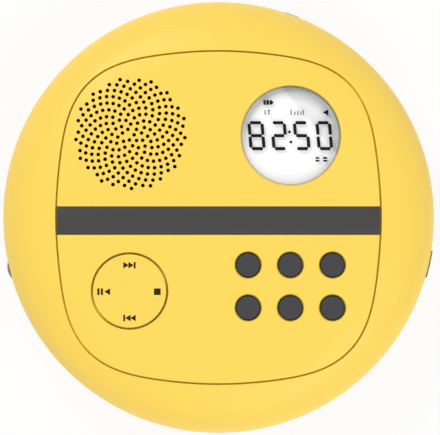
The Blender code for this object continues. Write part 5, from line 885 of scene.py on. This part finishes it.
def printed(name, outlines, low, high):
    """Thin plates over outlines, as one printed or etched piece. The heights are rules over the point."""
    vertices, faces = [], []
    for outline in outlines:
        points = [photo_point(px, py) for px, py in outline]
        if sum(x0 * y1 - x1 * y0 for (x0, y0), (x1, y1) in zip(points, points[1:] + points[:1])) < 0:
            points.reverse()
        count, first = len(points), len(vertices)
        base = range(first, first + count)
        faces += [tuple(reversed(base)), tuple(corner + count for corner in base)]
        faces += [(near, far, count + far, count + near) for near, far in zip(base, [*base[1:], first])]
        vertices += [(x, y, height(x, y)) for height in (low, high) for x, y in points]
    return piece(name, vertices, faces)


SEGMENTS = {"0": "abcdef", "2": "abged", "5": "afgcd", "8": "abcdefg"}


def digit_outlines(symbol, left, right, slant, top=122.7, bottom=148.6, stroke=3.3):
    """Seven-segment strokes of one digit, in photograph pixels."""
    middle, half, gap, tip = (top + bottom) / 2, stroke / 2, stroke * 0.25, stroke * 0.16
    runs = {"a": (left, right, top), "g": (left, right, middle), "d": (left, right, bottom),
            "f": (top, middle, left), "b": (top, middle, right), "e": (middle, bottom, left),
            "c": (middle, bottom, right)}
    shapes = []
    for letter in SEGMENTS[symbol]:
        start, end, line = runs[letter]
        stroke_shape = [(start + gap, tip), (start + gap, -tip), (start + half, -half), (end - half, -half),
                        (end - gap, -tip), (end - gap, tip), (end - half, half), (start + half, half)]
        points = [(at, line + off) if letter in "agd" else (line - off, at) for at, off in stroke_shape]
        shapes.append([(x + (middle - y) * slant, y) for x, y in points])
    return shapes


def box(left, right, top, bottom):
    return [(left, top), (right, top), (right, bottom), (left, bottom)]


shapes = []
for digit in (("8", 250.0, 263.0, -0.08), ("2", 273.0, 285.3, -0.08), ("5", 295.4, 308.0, -0.07),
              ("0", 318.1, 330.5, -0.08)):
    shapes += digit_outlines(*digit)
for px, py in ((289.5, 131.9), (290.9, 142.0)):
    shapes.append([(px + 1.5 * x, py + 1.5 * y) for x, y in arc(12, span=tau)[:-1]])
blocks = [(263.4, 265.8, 100.0, 104.8), (266.3, 269.1, 100.0, 104.8), (269.6, 272.2, 100.2, 104.6),
          (272.2, 273.3, 101.4, 103.4), (264.6, 265.6, 110.0, 114.6), (267.6, 270.2, 110.0, 110.9),
          (268.4, 269.4, 110.9, 114.6)]
blocks += [(left, left + 1.0, top, 115.0)
           for left, top in ((290.6, 109.6), (294.4, 111.6), (297.4, 110.6), (300.4, 111.2), (302.6, 109.6))]
blocks += [(*sides, top, top + 1.8) for sides in ((315.6, 319.4), (323.0, 327.2)) for top in (157.0, 159.8)]
shapes += [box(*sides) for sides in blocks]
shapes.append([(322.6, 112.4), (328.4, 109.4), (328.4, 115.4)])
SEGMENT_INK = Finish("segment_ink", linear(10, 9, 12), 0.6, Specular_IOR_Level=0.1).clouded(
    800.0, 2.0, (linear(8, 7, 10), linear(16, 15, 18)))
segments = printed("display_segments", shapes, lambda x, y: CELL_Z, lambda x, y: CELL_Z + 0.00003)
fit(segments, SEGMENT_INK, "lid", "grey_plastic")

CELL_GLASS = Finish("cell_glass", SMOKE, 0.08, Alpha=0.02, Specular_IOR_Level=0.10).clouded(
    120.0, 3.0, roughness=(0.1, 0.04))
cell_rows = [(0.0005, DISPLAY_TOP_Z + 0.00002), (panel_radius - 0.0003, DISPLAY_TOP_Z + 0.00002),
             (panel_radius - 0.0003, CELL_Z - 0.00001), (0.0005, CELL_Z - 0.00001)]
fit(turned("display_cell", cell_rows, DISPLAY, DISPLAY_STEPS), CELL_GLASS, "lid", "clear_window")

# Painted shade: the border ring runs from cream to a darker tan where the window's painted shade falls, at
# the upper rim.
bezel = Finish("window_border", linear(204, 190, 150), 0.5, Specular_IOR_Level=0.2)
bezel.vary("Base Color", bezel.blended(painted_window_shade(bezel), linear(230, 212, 166), linear(158, 147, 106)))
BORDER_CREAM = bezel.clouded(500.0, 2.0, roughness=(0.1, 0.45))
border_rows = [(0.01948, 0.00032), (0.01922, 0.00032), (0.01922, 0.00126), (0.01875, 0.00126),
               (0.01875, 0.00136), (0.01948, 0.00136)]
border = skin("window_border", draped(border_rows, DISPLAY, DISPLAY_STEPS), ring=True)
fit(border, BORDER_CREAM, "lid", "grey_plastic")

# Six round keys
# Charcoal caps with a soft edge, each flanged under the lid and standing on its rubber dome.
KEY_GREY = moulded("key_plastic", linear(62, 61, 65), 0.50, 0.000008, 0.00025, Specular_IOR_Level=0.25)
CAP_RADIUS = KEY_HOLE - 0.00075


def cap(name, centre, steps, radius, shares, bow, edge, edge_steps, crown, foot):
    """A flanged cap that follows the dome. Its crown stands proud, falls off by the bow and has a round
    edge. The foot gives the level rows below it, as reach and height."""
    rows = [(radius * share, bow * share * share - crown) for share in shares]
    rows += [(radius - edge + edge * y, bow - crown + edge * (1 - x)) for x, y in arc(edge_steps)]
    return skin(name, draped(rows, centre, steps) + [
        round_loop(reach, z, centre, steps) for reach, z in foot])


for number, centre in enumerate(KEY_PLACES, 1):
    key_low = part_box(f"button_{number}")[0].z
    flange = dome(hypot(*centre) + KEY_HOLE + 0.0009, 0.0) - SKIN - FIT
    key = cap(f"key_cap_{number}", centre, 72, CAP_RADIUS, (0.04, 0.3, 0.6, 0.85), 0.00006,
              0.00035, 4, 0.0005, ((CAP_RADIUS, flange), (0.00565, flange), (0.00565, flange - 0.0009),
                                   (0.003, flange - 0.0009), (0.003, key_low), (0.0002, key_low)))
    fit(key, KEY_GREY, f"key_{number}", "grey_plastic", f"button_{number}")

# Four-way pad
# One yellow disc that rocks on a rubber pillar, with its four signs pad-printed in dark ink.
PAD_RADIUS = PAD_HOLE - 0.0008
pad_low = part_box("control_pad")[0].z
flange = dome(hypot(*PAD) + PAD_HOLE + 0.00045, 0.0) - SKIN - 0.0009
pad = cap("four_way_pad", PAD, 128, PAD_RADIUS, (0.02, 0.25, 0.5, 0.75, 0.92), 0.0, 0.0003, 5, 0.0003,
          ((PAD_RADIUS, flange), (0.01545, flange), (0.01545, flange - 0.0008), (0.0003, flange - 0.0008)))
NUB_PLACES = [(PAD[0] + x * 0.0098, PAD[1] + y * 0.0098) for x, y in ((1, 0), (0, 1), (-1, 0), (0, -1))]
carve(pad, "UNION", *pegs("nub", rod(0.0018, pad_low, flange - 0.0004), NUB_PLACES, 24))
fit(pad, RING_YELLOW, "pad", "yellow_shell", "control_pad")
MARK_INK = Finish("printed_marks", linear(36, 30, 6), 0.6, Specular_IOR_Level=0.15).clouded(
    900.0, 3.0, (linear(32, 26, 5), linear(44, 37, 10)))


def bar(middle_x, middle_y, width, height):
    return box(middle_x - width / 2, middle_x + width / 2, middle_y - height / 2, middle_y + height / 2)


def arrow(middle_x, middle_y, width, height):
    """A triangle that points along its width's sign."""
    back = middle_x - width / 2
    return [(back, middle_y - height / 2), (middle_x + width / 2, middle_y), (back, middle_y + height / 2)]


marks = [arrow(126.0, 265.2, 5.4, 6.6), arrow(131.1, 265.2, 5.4, 6.6),
         bar(134.7, 265.2, 1.9, 6.4), bar(124.2, 318.0, 1.9, 6.4),
         arrow(127.9, 318.0, -5.4, 6.6), arrow(133.0, 318.0, -5.4, 6.6),
         bar(98.4, 291.7, 2.2, 6.6), bar(101.9, 291.7, 2.2, 6.6),
         arrow(107.2, 291.7, -5.8, 6.8), bar(157.3, 291.7, 6.7, 6.5)]
signs = printed("pad_signs", marks, under_dome(-0.00022), under_dome(-0.00033))
fit(signs, MARK_INK, "pad", "grey_plastic")

# Inner cover of the lid
# A dark plate screwed under the lid. It carries the two arms of the hinge and the latch lug.
COVER_Z = 0.0266
COVER_TOP_Z = 0.0282
cover_rows = [(-0.03, COVER_Z), (-0.001, COVER_Z), (-0.0003, COVER_Z + 0.0001), (0.0, COVER_Z + 0.0004),
              (0.0, COVER_TOP_Z), (-0.03, COVER_TOP_Z)]
cover = skin("lid_inner", [seam_loop(lid_foot + reach, z) for reach, z in cover_rows])
arm_low = COVER_Z - 0.0015 - HINGE_Z
arm_high = arm_low + 0.0024
arm_front = SEAM_HALF_DEPTH + lid_foot - 0.0024 - HINGE_Y
arm = eye + [(-EAR_RADIUS, arm_high + 0.0008), (-0.0025, arm_high + 0.0002), (-0.0033, arm_high),
             (arm_front, arm_high), (arm_front, arm_low), (0.0011, arm_low), (0.0017, arm_low + 0.0002),
             (EAR_RADIUS, arm_low + 0.0008)]
parts = [hinge_plate("arm", arm, side * ARM_X - 0.002, 0.004) for side in (-1, 1)]
hook = [(0.05355, COVER_TOP_Z - 0.0008), (0.05205, COVER_TOP_Z - 0.0008), (0.05205, 0.0169),
        (0.05105, 0.0169), (0.05205, 0.015), (0.05355, 0.015)]
parts.append(skin("latch", [[(x, y, z) for x, z in hook] for y in (-0.04345, -0.03895)]))
parts += pegs("board_stand", [(0.0018, COVER_Z + 0.0008), (0.0018, 0.0327)],
              [(x, y) for x in (-0.041, 0.041) for y in (-0.0164, -0.037)], 32)
carve(cover, "UNION", *parts)
carve(cover, "DIFFERENCE", *pegs("cover_bore", [
    (0.002, 0.025), (0.002, 0.0274), (0.00095, 0.0274), (0.00095, 0.03)], COVER_SCREWS, 40))
fit(cover, DARK_PLASTIC, "lid", "dark_plastic", "lid_cover")
for number, centre in enumerate(COVER_SCREWS, 1):
    screw = cross_head_screw(f"cover_screw_{number}", COVER_Z, 0.0017, 0.0005, 0.0008, 0.0326, centre)
    fit(screw, ZINC, "lid", "plated_steel", f"lid_screw_{number}")

# Volume wheel and release button
# Two moulded parts stand a little proud of the casing: a thumb wheel of warm grey ABS with fine grooves at
# the left, and at the right the lid's release, yellow with a grey finger ledge.
WHEEL_RADIUS = 0.007
GROOVE = 0.00028
GROOVES = 48
WHEEL_GREY = moulded("wheel_plastic", linear(128, 121, 105), 0.50, 0.00001, 0.00025)
rim = []
for step, (x, y) in enumerate(arc(GROOVES * 4, span=tau)[:-1]):
    radius = WHEEL_RADIUS - (0.0 if step % 4 else GROOVE)
    rim.append((radius * x, radius * y))
wheel = skin("thumb_wheel", [[(WHEEL_CENTRE[0] + x * share, WHEEL_CENTRE[1] + y * share, z) for x, y in rim]
                             for share, z in ((0.94, 0.0206), (1.0, 0.0209), (1.0, 0.0235), (0.94, 0.0238))])
carve(wheel, "DIFFERENCE", turned("wheel_bore", rod(0.00165, 0.02, 0.0245), WHEEL_CENTRE, 40))
fit(wheel, WHEEL_GREY, "volume", "grey_plastic", "volume_wheel")
slider = Finish("slider_plastic", SHELL_YELLOW, 0.46, Specular_IOR_Level=0.3)
upper = slider.axis(2).above(0.0244, 0.0001)
slider_grain = slider.noise(3000.0, 3.0)
slider.vary("Base Color", slider.blended(upper, linear(112, 105, 88), SHELL_YELLOW))
slider.vary("Roughness", slider_grain * 0.1 + 0.42)
slider.relief(slider_grain, 0.00001)
shape = bmesh.new()
shape.from_mesh(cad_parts["release_button"].data)
bmesh.ops.remove_doubles(shape, verts=shape.verts, dist=0.000001)
copied = bpy.data.meshes.new("lid_release")
shape.to_mesh(copied)
shape.free()
release = placed("lid_release", copied)
carve(release, "DIFFERENCE", turned("release_lean", [
    (0.08395, 0.0242), (0.08372, 0.0243), (0.0832, 0.0262), (0.083, 0.0268), (0.087, 0.0268),
    (0.087, 0.0242)], steps=480, ring=True))
fit(release, slider.material, "release", "grey_plastic", "release_button")

# Studio
# A pale sweep under the player, two soft boxes and an even white surround, with the camera straight
# above as in the photograph.
AMBIENT = 0.62
FLOOR_GLOW = 0.86
FLOOR_REACH = 3.0
CAMERA_HEIGHT = 8.0
SENSOR = 36.0
IMAGE_WIDTH = 440


def seen_directly(graph):
    """1 for rays from the camera, a mirror or a clear piece, and 0 for the light that falls on things."""
    rays = graph.tree.nodes.new("ShaderNodeLightPath")
    camera, glossy, clear = (Signal(graph, rays.outputs[f"Is {kind} Ray"])
                             for kind in ("Camera", "Glossy", "Transmission"))
    return camera.worked("MAXIMUM", camera, camera.worked("MAXIMUM", glossy, clear))


floor_paint = Finish("studio_floor", linear(247, 247, 246), 0.7)
floor_paint.clouded(8.0, 2.0, roughness=(0.1, 0.65))
glow = floor_paint.add("ShaderNodeEmission", {}, {"Color": (1.0, 1.0, 1.0), "Strength": 1.0})
matt = Signal(floor_paint, floor_paint.shader.outputs[0])
lit = floor_paint.add("ShaderNodeMixShader", {}, {
    0: seen_directly(floor_paint) * FLOOR_GLOW, 1: matt, 2: glow})
floor_paint.tree.links.new(lit.socket, floor_paint.tree.nodes["Material Output"].inputs["Surface"])
floor = piece("studio_floor", [(x * FLOOR_REACH, y * FLOOR_REACH, 0.0)
                               for x, y in ((-1, -1), (1, -1), (1, 1), (-1, 1))], [(0, 1, 2, 3)])
coat(floor, floor_paint.material)

surround = bpy.data.worlds.new("studio_surround")
surround.use_nodes = True
bpy.context.scene.world = surround
air = Graph(surround.node_tree)
backdrop = surround.node_tree.nodes["Background"]
air.feed(backdrop.inputs["Color"], (1.0, 1.0, 1.0))
air.feed(backdrop.inputs["Strength"], seen_directly(air) * (1.0 - AMBIENT) + AMBIENT)


def soft_box(name, place, size, power):
    """A square lamp that faces the player."""
    lamp = bpy.data.lights.new(name, "AREA")
    lamp.shape = "SQUARE"
    lamp.size = size
    lamp.energy = power
    holder = placed(name, lamp)
    holder.location = place
    x, y, z = place[0], place[1], place[2] - 0.03
    holder.rotation_euler = (acos(z / hypot(x, y, z)), 0.0, atan2(y, x) + pi / 2)


soft_box("key_box", (-0.42, 0.70, 0.85), 0.30, 4.2)
soft_box("fill_box", (0.50, -0.85, 0.85), 1.00, 6.0)

view = bpy.data.cameras.new("photograph_view")
view.sensor_width = SENSOR
view.lens = SENSOR * (CAMERA_HEIGHT - TOP_Z) / (IMAGE_WIDTH * SCALE)
view.clip_end = 20.0
camera = placed("photograph_view", view)
camera.location = (*photo_point(IMAGE_WIDTH / 2, 217.5), CAMERA_HEIGHT)
bpy.context.scene.camera = camera
bpy.context.scene.view_settings.view_transform = "Standard"
